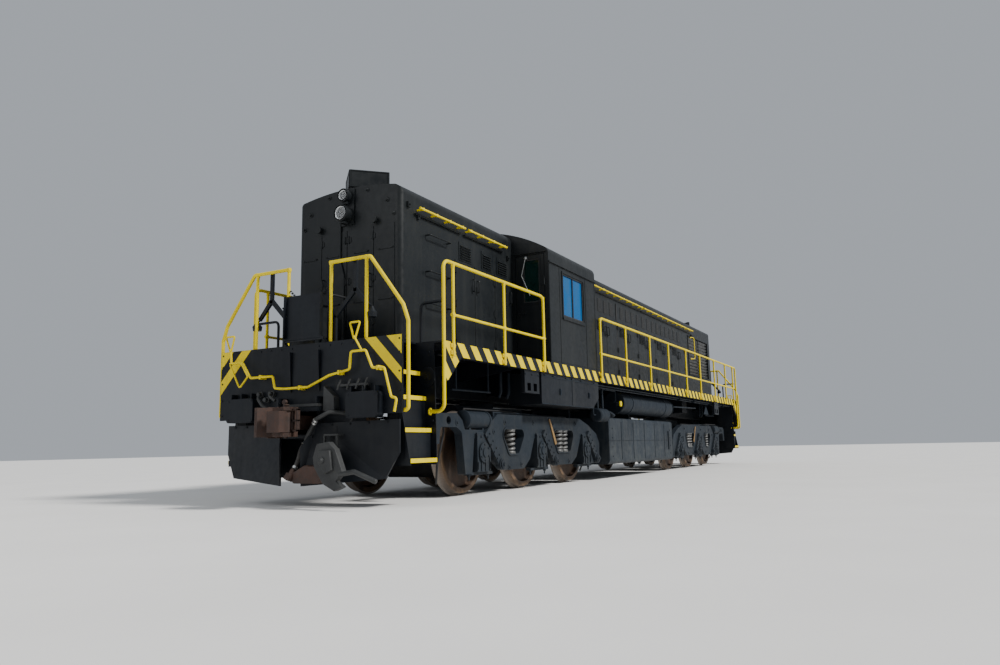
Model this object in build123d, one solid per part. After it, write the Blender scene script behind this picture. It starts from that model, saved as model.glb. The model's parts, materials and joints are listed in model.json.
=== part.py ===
from build123d import *
from math import cos, radians, sin, sqrt
import os

# Six-axle road switcher. Millimetres, +X towards the short hood's end, +Y to the left side, +Z up.
# The origin is on the floor under the wheel flanges, midway between the ends and the sides.

# Running gear: standard gauge wheels whose flanges stand on the floor
FLANGE_DEPTH = 28.0
WHEEL_RADIUS = 508.0
WHEEL_BACK = 676.5
RIM_WIDTH = 140.0
RIM_DEPTH = 70.0
FLANGE_WIDTH = 33.0
WHEEL_PLATE = 30.0
HUB_RADIUS = 130.0
HUB_OVERHANG = 25.0
AXLE_RADIUS = 88.0
JOURNAL_RADIUS = 70.0
JOURNAL_END = 1050.0
JOURNAL_CLEARANCE = 0.3
AXLE_SPACING = 1680.0
TRUCK_CENTRE = 4520.0
RAIL_TOP = FLANGE_DEPTH
AXLE_HEIGHT = RAIL_TOP + WHEEL_RADIUS

# Underframe
DECK_TOP = RAIL_TOP + 1755.0
DECK_PLATE = 20.0
SILL_DEPTH = 164.0
SILL_WEB = 12.0
SILL_FLANGE = 90.0
SILL_FACE = 1425.0
STEP_BACK = 7550.0
END_SHEET_FACE = 8200.0
END_SHEET_PLATE = 30.0
END_SHEET_HALF = SILL_FACE - 95.0
END_SHEET_DROP = 815.0
PLATFORM_HALF = 1050.0
CENTRE_SILL_HALF = 365.0
CENTRE_SILL_WEB = 25.0
CENTRE_SILL_DEPTH = 500.0
CENTRE_SILL_FLANGE = 130.0
CENTRE_SILL_OVERHANG = 60.0
BOLSTER_HALF_LENGTH = 220.0
BOLSTER_HALF_WIDTH = 780.0
BOLSTER_DEPTH = 430.0
CENTRE_PLATE_RADIUS = 230.0
CENTRE_PLATE_DROP = 110.0
SEAT_GAP = 0.5
DRAFT_BOX_HALF = 190.0
DRAFT_BOX_BACK = 7450.0
DRAFT_BOX_PLATE = 25.0

# Hoods and cab
HOOD_END = 7500.0
HOOD_HALF = 800.0
HOOD_WALL = 40.0
HOOD_EAVE = RAIL_TOP + 3690.0
HOOD_CROWN = RAIL_TOP + 3775.0
HOOD_SHOULDER = 110.0
HOOD_CORNER = 75.0
CAB_FRONT = 4700.0
CAB_REAR = 2900.0
CAB_SETBACK = 25.0
CAB_HALF = SILL_FACE - CAB_SETBACK
CAB_WALL = 50.0
CAB_EAVE = RAIL_TOP + 3240.0
CAB_ARCH_EDGE = RAIL_TOP + 3440.0
CAB_CROWN = RAIL_TOP + 3850.0
CAB_ROOF_PLATE = 50.0
CAB_ROOF_BEND = 120.0
GLASS_THICKNESS = 10.0

# Couplers
COUPLER_FACE = 8740.0
COUPLER_HEIGHT = RAIL_TOP + 876.0
COUPLER_PIVOT = 7650.0
DRAFT_PIN = 35.0
PIN_CLEARANCE = 0.3
SHANK_HALF = 75.0
HEAD_BACK = 8430.0
KNUCKLE_PIVOT = (8610.0, 140.0)
KNUCKLE_HALF = 110.0
KNUCKLE_HUB = 55.0
KNUCKLE_PIN = 20.0
KNUCKLE_GAP = 5.0
EAR_THICKNESS = 40.0

# Handrails
TUBE_RADIUS = 21.0
POST_RADIUS = 19.0
MIDDLE_TUBE_RADIUS = 17.0
TUBE_BEND = 90.0
SIDE_RAIL_Y = SILL_FACE + TUBE_RADIUS + 0.3
STAIR_RAIL_FOOT = 970.0
SIDE_RAIL_TOP = RAIL_TOP + 2656.0
SIDE_RAIL_MID = RAIL_TOP + 2058.0
END_RAIL_X = END_SHEET_FACE - END_SHEET_PLATE - TUBE_RADIUS - 0.3
END_RAIL_TOP = RAIL_TOP + 2660.0

os.makedirs("parts", exist_ok=True)


def slab(x, y, z):
    """Block between low and high values along each axis."""
    size = (x[1] - x[0], y[1] - y[0], z[1] - z[0])
    middle = ((x[0] + x[1]) / 2, (y[0] + y[1]) / 2, (z[0] + z[1]) / 2)
    return Pos(*middle) * Box(*size)


def rod(start, end, radius):
    """Round bar between two points."""
    start = Vector(*start)
    run = Vector(*end) - start
    bar = Cylinder(radius, run.length, align=(Align.CENTER, Align.CENTER, Align.MIN))
    return Plane(origin=start, z_dir=run) * bar


def bent_tube(points, radius, bend):
    """Round bar along straight runs joined by arcs."""
    path = FilletPolyline(*points, radius=bend)
    section = Plane(origin=path @ 0, z_dir=path % 0) * Circle(radius)
    return sweep(section, path=path)


def plate_xz(points, y_low, y_high):
    """Plate with an outline in X and Z, between two Y values."""
    face = make_face(Plane.XZ * Polyline(*points, close=True))
    return Pos(0, y_low, 0) * extrude(face, amount=y_high - y_low, dir=(0, 1, 0))


def plate_yz(points, x_low, x_high):
    """Plate with an outline in Y and Z, between two X values."""
    face = make_face(Plane.YZ * Polyline(*points, close=True))
    return Pos(x_low, 0, 0) * extrude(face, amount=x_high - x_low, dir=(1, 0, 0))


def plate_xy(points, z_low, z_high):
    """Plate with an outline in X and Y, between two Z values."""
    face = make_face(Polyline(*points, close=True))
    return Pos(0, 0, z_low) * extrude(face, amount=z_high - z_low, dir=(0, 0, 1))


def left_right(pieces):
    """Pieces and their mirror images on the other side."""
    return list(pieces) + [mirror(piece, about=Plane.XZ) for piece in pieces]


def front_rear(pieces):
    """Pieces and their mirror images at the other end."""
    return list(pieces) + [mirror(piece, about=Plane.YZ) for piece in pieces]


def turned(pieces):
    """Pieces turned half a turn about the vertical axis, for the other end."""
    return [Rot(0, 0, 180) * piece for piece in pieces]


def write(node, pieces):
    """One file for a node, with all its solids."""
    solids = [solid for piece in pieces for solid in piece.solids()]
    export_step(Compound(solids), f"parts/{node}.step")


# Side sills' jack pads, with two square sockets each
JACK_PAD_X = (5100.0, 5540.0)
JACK_PAD_Y = (SILL_FACE - 90.0, SILL_FACE - 30.0)
JACK_PAD_LOW = 1310.0
SOCKET_SIZE = 105.0
SOCKET_PLACES = (5175.0, 5360.0)
SOCKET_DEPTH = 45.0
# Gusset that hangs below each end of the side sills, its outline in X and Z
GUSSET_TOP = DECK_TOP - SILL_DEPTH + 2.0
SILL_GUSSET = [(7180.0, GUSSET_TOP), (STEP_BACK, GUSSET_TOP), (STEP_BACK, 1330.0), (7460.0, 1340.0)]
BEARER_PLACES = (-6900.0, -5600.0, -3300.0, -1100.0, 0.0, 1100.0, 5600.0, 6900.0)
BEARER_PLATE = 20.0
BEARER_DROP = 130.0
MOUTH_HALF = 125.0


def jack_pad():
    """Block under the left side sill, with sockets in its outer face."""
    sill_low = DECK_TOP - SILL_DEPTH
    pad = slab(JACK_PAD_X, JACK_PAD_Y, (JACK_PAD_LOW, sill_low + 2.0))
    sockets = [slab((x, x + SOCKET_SIZE), (JACK_PAD_Y[1] - SOCKET_DEPTH, JACK_PAD_Y[1] + 5.0),
                    (JACK_PAD_LOW + 30.0, JACK_PAD_LOW + 30.0 + SOCKET_SIZE)) for x in SOCKET_PLACES]
    return pad - sockets


def underframe():
    """Deck plates on two side sills, with gussets and jack pads under the sills."""
    deck_low = DECK_TOP - DECK_PLATE
    sheet_back = END_SHEET_FACE - END_SHEET_PLATE
    sill_low = DECK_TOP - SILL_DEPTH
    deck = slab((-STEP_BACK, STEP_BACK), (-SILL_FACE, SILL_FACE), (deck_low, DECK_TOP))
    platform = slab((STEP_BACK, sheet_back), (-PLATFORM_HALF, PLATFORM_HALF), (deck_low, DECK_TOP))
    sill = [
        slab((-STEP_BACK, STEP_BACK), (SILL_FACE - SILL_WEB, SILL_FACE), (sill_low, deck_low)),
        slab((-STEP_BACK, STEP_BACK), (SILL_FACE - SILL_FLANGE, SILL_FACE), (sill_low, sill_low + SILL_WEB)),
    ]
    gusset = plate_xz(SILL_GUSSET, SILL_FACE - SILL_WEB, SILL_FACE)
    return deck + front_rear([platform]) + left_right(sill) + front_rear(left_right([gusset, jack_pad()]))


def cross_bearers():
    """Upright plates between the centre sill and the side sills."""
    deck_low = DECK_TOP - DECK_PLATE
    sill_low = DECK_TOP - SILL_DEPTH
    inner_flange = SILL_FACE - SILL_FLANGE
    outline = [(CENTRE_SILL_HALF, deck_low), (inner_flange, deck_low), (inner_flange, sill_low + SILL_WEB),
               (CENTRE_SILL_HALF, sill_low - BEARER_DROP)]
    plates = [plate_yz(outline, x - BEARER_PLATE / 2, x + BEARER_PLATE / 2) for x in BEARER_PLACES]
    return left_right(plates)


def draft_box():
    """Box behind the front end sheet that holds the coupler's shank on its pin."""
    centre_low = DECK_TOP - CENTRE_SILL_DEPTH
    low = COUPLER_HEIGHT - MOUTH_HALF
    high = COUPLER_HEIGHT + MOUTH_HALF
    outer = DRAFT_BOX_HALF + DRAFT_BOX_PLATE
    box_x = (DRAFT_BOX_BACK, END_SHEET_FACE - END_SHEET_PLATE)
    sides = left_right([slab(box_x, (DRAFT_BOX_HALF, outer), (low - DRAFT_BOX_PLATE, centre_low))])
    floor = slab(box_x, (-outer, outer), (low - DRAFT_BOX_PLATE, low))
    ceiling = slab(box_x, (-outer, outer), (high, high + DRAFT_BOX_PLATE))
    carrier = slab(box_x, (-CENTRE_SILL_HALF, CENTRE_SILL_HALF), (centre_low - CENTRE_SILL_WEB, centre_low))
    back = slab((DRAFT_BOX_BACK - 60.0, DRAFT_BOX_BACK), (-outer, outer), (low - DRAFT_BOX_PLATE, centre_low))
    pin = Pos(COUPLER_PIVOT, 0, COUPLER_HEIGHT) * Cylinder(DRAFT_PIN, high - low + DRAFT_BOX_PLATE)
    return floor + sides + [ceiling, carrier, back, pin]


def centre_sill():
    """Box of webs and flanges under the deck, with the bolsters, centre plates and draft boxes."""
    deck_low = DECK_TOP - DECK_PLATE
    centre_low = DECK_TOP - CENTRE_SILL_DEPTH
    bolster_low = DECK_TOP - BOLSTER_DEPTH
    sheet_back = END_SHEET_FACE - END_SHEET_PLATE
    pieces = left_right([
        slab((-sheet_back, sheet_back), (CENTRE_SILL_HALF - CENTRE_SILL_WEB, CENTRE_SILL_HALF),
             (centre_low, deck_low)),
        slab((-DRAFT_BOX_BACK, DRAFT_BOX_BACK),
             (CENTRE_SILL_HALF - CENTRE_SILL_FLANGE, CENTRE_SILL_HALF + CENTRE_SILL_OVERHANG),
             (centre_low - CENTRE_SILL_WEB, centre_low)),
    ])
    for x in (-TRUCK_CENTRE, TRUCK_CENTRE):
        pieces.append(slab((x - BOLSTER_HALF_LENGTH, x + BOLSTER_HALF_LENGTH),
                           (-BOLSTER_HALF_WIDTH, BOLSTER_HALF_WIDTH), (bolster_low, deck_low)))
        plate = Cylinder(CENTRE_PLATE_RADIUS, bolster_low - centre_plate_low() + 1.0,
                         align=(Align.CENTER, Align.CENTER, Align.MIN))
        pieces.append(Pos(x, 0, centre_plate_low()) * plate)
    return pieces[0] + pieces[1:] + front_rear([draft_box()])


def end_sheet():
    """Front end sheet with the coupler's mouth, the lugs of the folding step and the air hose's cock."""
    low = DECK_TOP - END_SHEET_DROP
    centre_low = COUPLER_HEIGHT - 180.0
    half_outline = [(END_SHEET_HALF, DECK_TOP), (END_SHEET_HALF, low), (700.0, low), (520.0, centre_low)]
    outline = half_outline + [(-y, z) for y, z in reversed(half_outline)]
    sheet_back = END_SHEET_FACE - END_SHEET_PLATE
    sheet = plate_yz(outline, sheet_back, END_SHEET_FACE)
    mouth = slab((sheet_back - 1.0, END_SHEET_FACE + 1.0), (-DRAFT_BOX_HALF, DRAFT_BOX_HALF),
                 (COUPLER_HEIGHT - MOUTH_HALF, COUPLER_HEIGHT + MOUTH_HALF))
    return sheet - mouth + [drop_step_hinge(), hose_cock()]


def centre_plate_low():
    return DECK_TOP - BOLSTER_DEPTH - CENTRE_PLATE_DROP


# Step wells at the four corners
STEP_PLATE = 12.0
STEP_DEPTH = 230.0
STEP_LOW = RAIL_TOP + 400.0
LOW_TREAD_END = 8050.0
# Each row: tread top above the rail, outer edge
TREADS = [(470.0, END_SHEET_HALF), (790.0, END_SHEET_HALF - 70.0), (1140.0, END_SHEET_HALF - 140.0),
          (1420.0, END_SHEET_HALF - 210.0)]


def step_well():
    sheet_back = END_SHEET_FACE - END_SHEET_PLATE
    inner = TREADS[-1][1] - STEP_DEPTH
    deck_low = DECK_TOP - DECK_PLATE
    back = [(inner, deck_low), (PLATFORM_HALF + 250.0, deck_low), (TREADS[0][1], STEP_LOW),
            (TREADS[0][1] - STEP_DEPTH, STEP_LOW), (inner, RAIL_TOP + TREADS[2][0])]
    well = plate_yz(back, STEP_BACK, STEP_BACK + STEP_PLATE)
    hanger_top = RAIL_TOP + TREADS[2][0] - STEP_PLATE
    hanger = [(TREADS[1][1] - STEP_DEPTH, hanger_top), (TREADS[2][1], hanger_top),
              (TREADS[0][1], STEP_LOW), (TREADS[0][1] - STEP_DEPTH, STEP_LOW)]
    pieces = [plate_yz(hanger, LOW_TREAD_END - STEP_PLATE, LOW_TREAD_END)]
    for height, edge in TREADS:
        top = RAIL_TOP + height
        span = (STEP_BACK + STEP_PLATE, sheet_back if top > hanger_top else LOW_TREAD_END)
        pieces.append(slab(span, (edge - STEP_DEPTH, edge), (top - STEP_PLATE, top)))
        pieces.append(slab(span, (edge - 8.0, edge), (top - 45.0, top)))
        pieces.append(slab(span, (edge - STEP_DEPTH, edge - STEP_DEPTH + STEP_PLATE), (top, top + 180.0)))
    return well + pieces


def steps():
    return front_rear(left_right([step_well()]))


# Pilots: two folded plates at each end, with a gap for the coupler and the hoses
PILOT_PLATE = 22.0
# Each row: X ahead of the pilot's back, Y, height above the rail
PILOT_POINTS = {
    "upper_inner": (60.0, 260.0, 860.0),
    "upper_outer": (-90.0, 1250.0, 880.0),
    "outer_corner": (-90.0, 1250.0, 540.0),
    "outer_toe": (-50.0, 1100.0, 270.0),
    "inner_toe": (170.0, 150.0, 200.0),
    "inner_rise": (190.0, 150.0, 600.0),
}
PILOT_FOLDS = [
    ("upper_inner", "upper_outer", "outer_corner"),
    ("upper_inner", "outer_corner", "outer_toe"),
    ("upper_inner", "outer_toe", "inner_toe"),
    ("upper_inner", "inner_toe", "inner_rise"),
]
PILOT_BACK = 8200.0


def pilot_half():
    corners = {name: (PILOT_BACK + x, y, RAIL_TOP + z) for name, (x, y, z) in PILOT_POINTS.items()}
    facets = []
    for fold in PILOT_FOLDS:
        face = make_face(Polyline(*[corners[name] for name in fold], close=True))
        facets.append(extrude(face, amount=PILOT_PLATE, dir=(1, 0, 0)))
    half = facets[0] + facets[1:]
    bracket_z = (RAIL_TOP + 740.0, RAIL_TOP + 830.0)
    return half + slab((END_SHEET_FACE, END_SHEET_FACE + 45.0), (400.0, 520.0), bracket_z)


def pilots():
    return front_rear(left_right([pilot_half()]))


# Buffer pads on the end sheets
PAD_THICKNESS = 110.0
PAD_CENTRE = (890.0, RAIL_TOP + 1039.0)
PAD_SIZE = (422.0, 274.0)
PAD_CORNER = 40.0


def buffer_pads():
    face = Plane.YZ * RectangleRounded(PAD_SIZE[0], PAD_SIZE[1], PAD_CORNER)
    pad = extrude(face, amount=PAD_THICKNESS, dir=(1, 0, 0))
    return front_rear(left_right([Pos(END_SHEET_FACE, PAD_CENTRE[0], PAD_CENTRE[1]) * pad]))


# Couplers: shank, head with guard arm, and the knuckle on its pin
def coupler():
    z = COUPLER_HEIGHT
    high = KNUCKLE_HALF + KNUCKLE_GAP + EAR_THICKNESS
    pivot_x, pivot_y = KNUCKLE_PIVOT
    shank = slab((COUPLER_PIVOT - 60.0, HEAD_BACK + 40.0), (-SHANK_HALF, SHANK_HALF),
                 (z - SHANK_HALF, z + SHANK_HALF))
    body = plate_xy([(HEAD_BACK, -90.0), (8520.0, -190.0), (8630.0, -215.0), (COUPLER_FACE - 8.0, -195.0),
                     (COUPLER_FACE, -150.0), (8670.0, -110.0), (8600.0, -70.0), (8585.0, 20.0),
                     (8560.0, 70.0), (8560.0, 200.0), (8500.0, 200.0), (HEAD_BACK, 90.0)], z - high, z + high)
    ear = plate_xy([(8540.0, 80.0), (8540.0, 200.0), (8640.0, 215.0), (8680.0, 165.0), (8660.0, 100.0)],
                   z - high, z + high)
    slot_half = KNUCKLE_HALF + KNUCKLE_GAP
    hub_room = Pos(pivot_x, pivot_y, z) * Cylinder(KNUCKLE_HUB + KNUCKLE_GAP, 2 * slot_half)
    slot = slab((8560.0, COUPLER_FACE + 50.0), (20.0, 260.0), (z - slot_half, z + slot_half))
    pin = Pos(pivot_x, pivot_y, z) * Cylinder(KNUCKLE_PIN, 2 * high + 30.0)
    head = body + ear - slot - hub_room + pin
    draft_bore = Pos(COUPLER_PIVOT, 0, z) * Cylinder(DRAFT_PIN + PIN_CLEARANCE, 3 * SHANK_HALF)
    return head + shank - draft_bore


def knuckle():
    z = COUPLER_HEIGHT
    pivot_x, pivot_y = KNUCKLE_PIVOT
    hub = Pos(pivot_x, pivot_y, z) * Cylinder(KNUCKLE_HUB, 2 * KNUCKLE_HALF)
    nose = plate_xy([(pivot_x + 5.0, pivot_y + KNUCKLE_HUB - 4.0), (8690.0, 185.0),
                     (COUPLER_FACE - 12.0, 150.0), (COUPLER_FACE, 100.0), (COUPLER_FACE, 20.0),
                     (8725.0, -25.0), (8690.0, -30.0), (8672.0, 0.0), (8668.0, 70.0),
                     (pivot_x + 30.0, 95.0), (pivot_x, 100.0)],
                    z - KNUCKLE_HALF, z + KNUCKLE_HALF)
    bore = Pos(pivot_x, pivot_y, z) * Cylinder(KNUCKLE_PIN + 0.3, 3 * KNUCKLE_HALF)
    return hub + nose - bore


# Hoods: sheet shells with round shoulders, louvres and door leaves that stand proud
LEAF_PROUD = 8.0
END_TRIM = 20.0
LOUVRE_PROUD = 18.0


def hood_section():
    """Outline of a hood across the locomotive, as a face in Y and Z."""
    half = HOOD_HALF
    sides = Polyline((half, HOOD_EAVE), (half, DECK_TOP), (-half, DECK_TOP), (-half, HOOD_EAVE))
    roof = ThreePointArc((-half, HOOD_EAVE), (0, HOOD_CROWN), (half, HOOD_EAVE))
    face = make_face(Plane.YZ * (sides + roof))
    eaves = [v for v in face.vertices() if abs(v.Z - HOOD_EAVE) < 1.0]
    return fillet(eaves, HOOD_SHOULDER)


def hood_shell(x_cab, x_end):
    """Hood from the cab wall to its end, hollow, with rounded upright corners at the end."""
    low = min(x_cab, x_end)
    length = abs(x_end - x_cab)
    side = 1 if x_end > x_cab else -1
    start = low if side > 0 else low - END_TRIM
    section = hood_section()
    outer = Pos(start, 0, 0) * extrude(section, amount=length + END_TRIM, dir=(1, 0, 0))
    inner_section = offset(section, amount=-HOOD_WALL, kind=Kind.INTERSECTION)
    inner = Pos(start, 0, 0) * extrude(inner_section, amount=length + END_TRIM, dir=(1, 0, 0))
    inner = inner + Pos(0, 0, -HOOD_WALL - 1.0) * inner
    plan = plan_corners(low, length, side, 0.0)
    inner_plan = plan_corners(low, length, side, HOOD_WALL)
    return outer & plan, inner & inner_plan


def plan_corners(low, length, side, wall):
    """Upright prism whose plan has the hood's two rounded end corners, set in by a wall."""
    half = HOOD_HALF - wall
    near = low - 10.0 if side > 0 else low + wall
    far = low + length - wall if side > 0 else low + length + 10.0
    plan = make_face(Polyline((near, -half), (far, -half), (far, half), (near, half), close=True))
    end_x = far if side > 0 else near
    corners = [v for v in plan.vertices() if abs(v.X - end_x) < 1.0]
    plan = fillet(corners, HOOD_CORNER - wall if HOOD_CORNER > wall + 5.0 else 5.0)
    return extrude(plan, amount=HOOD_CROWN + 50.0, dir=(0, 0, 1))


def leaf(x_low, x_high, z_low, z_high):
    """Door leaf on the left side of a hood, standing proud of the wall."""
    return slab((x_low, x_high), (HOOD_HALF - 2.0, HOOD_HALF + LEAF_PROUD), (z_low, z_high))


def louvre_bank(x_low, x_high, z_low, count, pitch):
    """Bank of pressed louvres on the left side of a hood."""
    slats = []
    face_y = HOOD_HALF + LEAF_PROUD
    for index in range(count):
        z = z_low + index * pitch
        outline = [(face_y - 4.0, z), (face_y + LOUVRE_PROUD, z), (face_y - 4.0, z + 0.8 * pitch)]
        slats.append(plate_yz(outline, x_low, x_high))
    return slats


def end_leaves(rows):
    """Door leaves on a hood's front face, each from a row: Y low, Y high, Z low, Z high above the rail."""
    x = (HOOD_END - 2.0, HOOD_END + LEAF_PROUD)
    return left_right([slab(x, (y_low, y_high), (RAIL_TOP + z_low, RAIL_TOP + z_high))
                       for y_low, y_high, z_low, z_high in rows])


def gutter(x_low, x_high, height):
    """Narrow strip along the left side of a hood, under a grab rail."""
    z = RAIL_TOP + height - GUTTER_BELOW_RAIL
    return slab((x_low, x_high), (HOOD_HALF - 2.0, HOOD_HALF + GUTTER_PROUD), (z, z + GUTTER_HEIGHT))


def grab_iron(x_low, x_high, height):
    """Ladder rung that stands off the left side of a hood."""
    z = RAIL_TOP + height
    foot = HOOD_HALF - 5.0
    reach = HOOD_HALF + GRAB_PROUD
    route = [(x_low, foot, z), (x_low, reach, z), (x_high, reach, z), (x_high, foot, z)]
    return bent_tube(route, GRAB_RADIUS, GRAB_BEND)


def largest(shape):
    """Main solid of a shape, without slivers that a cut may leave."""
    return max(shape.solids(), key=lambda solid: solid.volume)


GUTTER_BELOW_RAIL = 70.0
GUTTER_PROUD = 26.0
GUTTER_HEIGHT = 22.0
GRAB_PROUD = 70.0
GRAB_RADIUS = 10.0
GRAB_BEND = 25.0
# Roof grab rails, each row: X low, X high, height above the rail
SHORT_HOOD_RAILS = [(5030.0, 6090.0, 3450.0), (6190.0, 7220.0, 3450.0)]
LONG_HOOD_RAILS = [(-5340.0, -1300.0, 3500.0), (-1200.0, 2700.0, 3500.0)]
# Leaves on the hoods' end faces
SHORT_HOOD_END_LEAVES = [(6.0, 402.0, 1850.0, 3235.0), (412.0, 712.0, 1850.0, 3235.0)]
LONG_HOOD_END_LEAVES = [(6.0, 712.0, 1850.0, 3235.0)]
# Ladder rungs beside the front steps, heights above the rail
GRAB_IRON_X = (6500.0, 6980.0)
GRAB_IRON_HEIGHTS = (2320.0, 2720.0, 3180.0)

# Short hood doors, each row: X low, X high, Z low, Z high above the rail
SHORT_HOOD_LEAVES = [
    (5820.0, 6310.0, 1850.0, 3020.0),
    (5260.0, 5810.0, 1850.0, 3020.0),
    (4760.0, 5250.0, 1850.0, 3020.0),
]
# Louvre banks of the short hood, each row: X low, X high
SHORT_HOOD_LOUVRES = [(5920.0, 6180.0), (5370.0, 5590.0), (4900.0, 5160.0)]
LOUVRE_COUNT = 6
LOUVRE_PITCH = 33.0


def short_hood():
    outer, inner = hood_shell(CAB_FRONT, HOOD_END)
    shell = outer - inner
    pieces = []
    for x_low, x_high, z_low, z_high in SHORT_HOOD_LEAVES:
        pieces += left_right([leaf(x_low, x_high, RAIL_TOP + z_low, RAIL_TOP + z_high)])
    for x_low, x_high in SHORT_HOOD_LOUVRES:
        pieces += left_right([slab((x_low - 30.0, x_high + 30.0), (HOOD_HALF - 2.0, HOOD_HALF + LEAF_PROUD),
                                   (RAIL_TOP + 3030.0, RAIL_TOP + 3280.0))])
        pieces += left_right(louvre_bank(x_low, x_high, RAIL_TOP + 3055.0, LOUVRE_COUNT, LOUVRE_PITCH))
    pieces += end_leaves(SHORT_HOOD_END_LEAVES)
    pieces += left_right([gutter(*row) for row in SHORT_HOOD_RAILS])
    pieces += left_right([grab_iron(*GRAB_IRON_X, height) for height in GRAB_IRON_HEIGHTS])
    return largest(shell + pieces)


# Long hood: engine doors in pairs, then the radiator room with its side shutters and roof fan
LONG_LEAF_START = 2700.0
LONG_LEAF_PITCH = 620.0
LONG_LEAF_GAP = 14.0
LONG_LEAF_COUNT = 12
LONG_LEAF_Z = (RAIL_TOP + 1850.0, RAIL_TOP + 3020.0)
LONG_LOUVRE_EVERY = 2
LONG_LOUVRE_FOOT = 2720.0
SHUTTER_X = (-7150.0, -5150.0)
SHUTTER_Z = (RAIL_TOP + 2350.0, RAIL_TOP + 3350.0)
SHUTTER_COUNT = 12
SHUTTER_BLADE = 70.0
FAN_X = -6150.0
FAN_RADIUS = 520.0
FAN_OPENING = 560.0
STACK_X = -900.0
STACK_SIZE = (760.0, 300.0)


def long_hood():
    outer, inner = hood_shell(CAB_REAR, -HOOD_END)
    shell = outer - inner
    shutter_room = slab(SHUTTER_X, (HOOD_HALF - HOOD_WALL - 5.0, HOOD_HALF + 50.0), SHUTTER_Z)
    fan_hole = Pos(FAN_X, 0, HOOD_CROWN) * Cylinder(FAN_OPENING, 500.0)
    stack_hole = Pos(STACK_X, 0, HOOD_CROWN) * Box(STACK_SIZE[0] - 60.0, STACK_SIZE[1] - 60.0, 400.0)
    shell = shell - left_right([shutter_room]) - fan_hole - stack_hole
    pieces = []
    for index in range(LONG_LEAF_COUNT):
        x_high = LONG_LEAF_START - index * LONG_LEAF_PITCH
        x_low = x_high - LONG_LEAF_PITCH + LONG_LEAF_GAP
        pieces += left_right([leaf(x_low, x_high, *LONG_LEAF_Z)])
        if index % LONG_LOUVRE_EVERY == 0:
            pieces += left_right(louvre_bank(x_low + 120.0, x_high - 120.0, RAIL_TOP + LONG_LOUVRE_FOOT,
                                             LOUVRE_COUNT, LOUVRE_PITCH))
    pitch = (SHUTTER_Z[1] - SHUTTER_Z[0]) / SHUTTER_COUNT
    for index in range(SHUTTER_COUNT):
        z = SHUTTER_Z[0] + index * pitch
        blade = [(HOOD_HALF - HOOD_WALL + 2.0, z + 4.0), (HOOD_HALF - HOOD_WALL + 8.0, z + 4.0),
                 (HOOD_HALF - 2.0, z + 0.9 * SHUTTER_BLADE), (HOOD_HALF - 8.0, z + 0.9 * SHUTTER_BLADE)]
        pieces += left_right([plate_yz(blade, SHUTTER_X[0] - 5.0, SHUTTER_X[1] + 5.0)])
    pieces += front_rear(end_leaves(LONG_HOOD_END_LEAVES))[2:]
    pieces += left_right([gutter(*row) for row in LONG_HOOD_RAILS])
    return shell + pieces


# Diesel engine with its generator, as one plain mass on the deck
ENGINE_X = (-3900.0, 1900.0)
ENGINE_HALF = 520.0
ENGINE_HEIGHT = 1500.0


def seated_on_roof(piece):
    """Piece with the hoods' solid form taken off its foot, so that it sits on the curved roof."""
    front = hood_shell(CAB_FRONT, HOOD_END)[0]
    rear = hood_shell(CAB_REAR, -HOOD_END)[0]
    return piece - [front, rear]


def engine_block():
    return slab(ENGINE_X, (-ENGINE_HALF, ENGINE_HALF), (DECK_TOP, DECK_TOP + ENGINE_HEIGHT))


# Cab
SIDE_WINDOW_X = (3420.0, 4210.0)
SIDE_WINDOW_Z = (RAIL_TOP + 2500.0, RAIL_TOP + 3160.0)
MULLION_HALF = 18.0
DOOR_Y = (CAB_HALF - 545.0, CAB_HALF - 65.0)
DOOR_TOP = RAIL_TOP + 3380.0
DOOR_SILL = 40.0
DOOR_WINDOW_Y = (DOOR_Y[0] + 130.0, DOOR_Y[1] - 80.0)
DOOR_WINDOW_Z = (RAIL_TOP + 2660.0, RAIL_TOP + 3310.0)
DOOR_GAP = 8.0
HINGE_AXIS = (CAB_FRONT + 14.0, DOOR_Y[1] - 4.0)
HINGE_PIN = 6.0
HINGE_BARREL = 12.0
HINGE_HEIGHTS = (RAIL_TOP + 2150.0, RAIL_TOP + 2950.0)
HINGE_LENGTH = 90.0
CAB_END_WINDOW_Y = (CAB_HALF - 470.0, CAB_HALF - 110.0)
CAB_END_WINDOW_Z = (RAIL_TOP + 2560.0, RAIL_TOP + 3260.0)


def cab_arch(shrink, x_low, x_high, foot):
    """Prism under the cab's arched roof, made smaller all round by a wall's thickness."""
    half = CAB_HALF - shrink
    eave = CAB_ARCH_EDGE - shrink
    sides = Polyline((half, eave), (half, foot), (-half, foot), (-half, eave))
    roof = ThreePointArc((-half, eave), (0, CAB_CROWN - shrink), (half, eave))
    face = make_face(Plane.YZ * (sides + roof))
    eaves = [v for v in face.vertices() if abs(v.Z - eave) < 1.0]
    face = fillet(eaves, max(CAB_ROOF_BEND - shrink, 10.0))
    return Pos(x_low, 0, 0) * extrude(face, amount=x_high - x_low, dir=(1, 0, 0))


def cab_roof():
    x = (CAB_REAR, CAB_FRONT)
    outer = cab_arch(0.0, x[0], x[1], CAB_EAVE)
    inner = cab_arch(CAB_ROOF_PLATE, x[0] - 10.0, x[1] + 10.0, CAB_EAVE - 100.0)
    drip = slab(x, (CAB_HALF - 2.0, CAB_HALF + 22.0), (CAB_EAVE, CAB_EAVE + 20.0))
    return outer - inner + left_right([drip])


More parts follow.
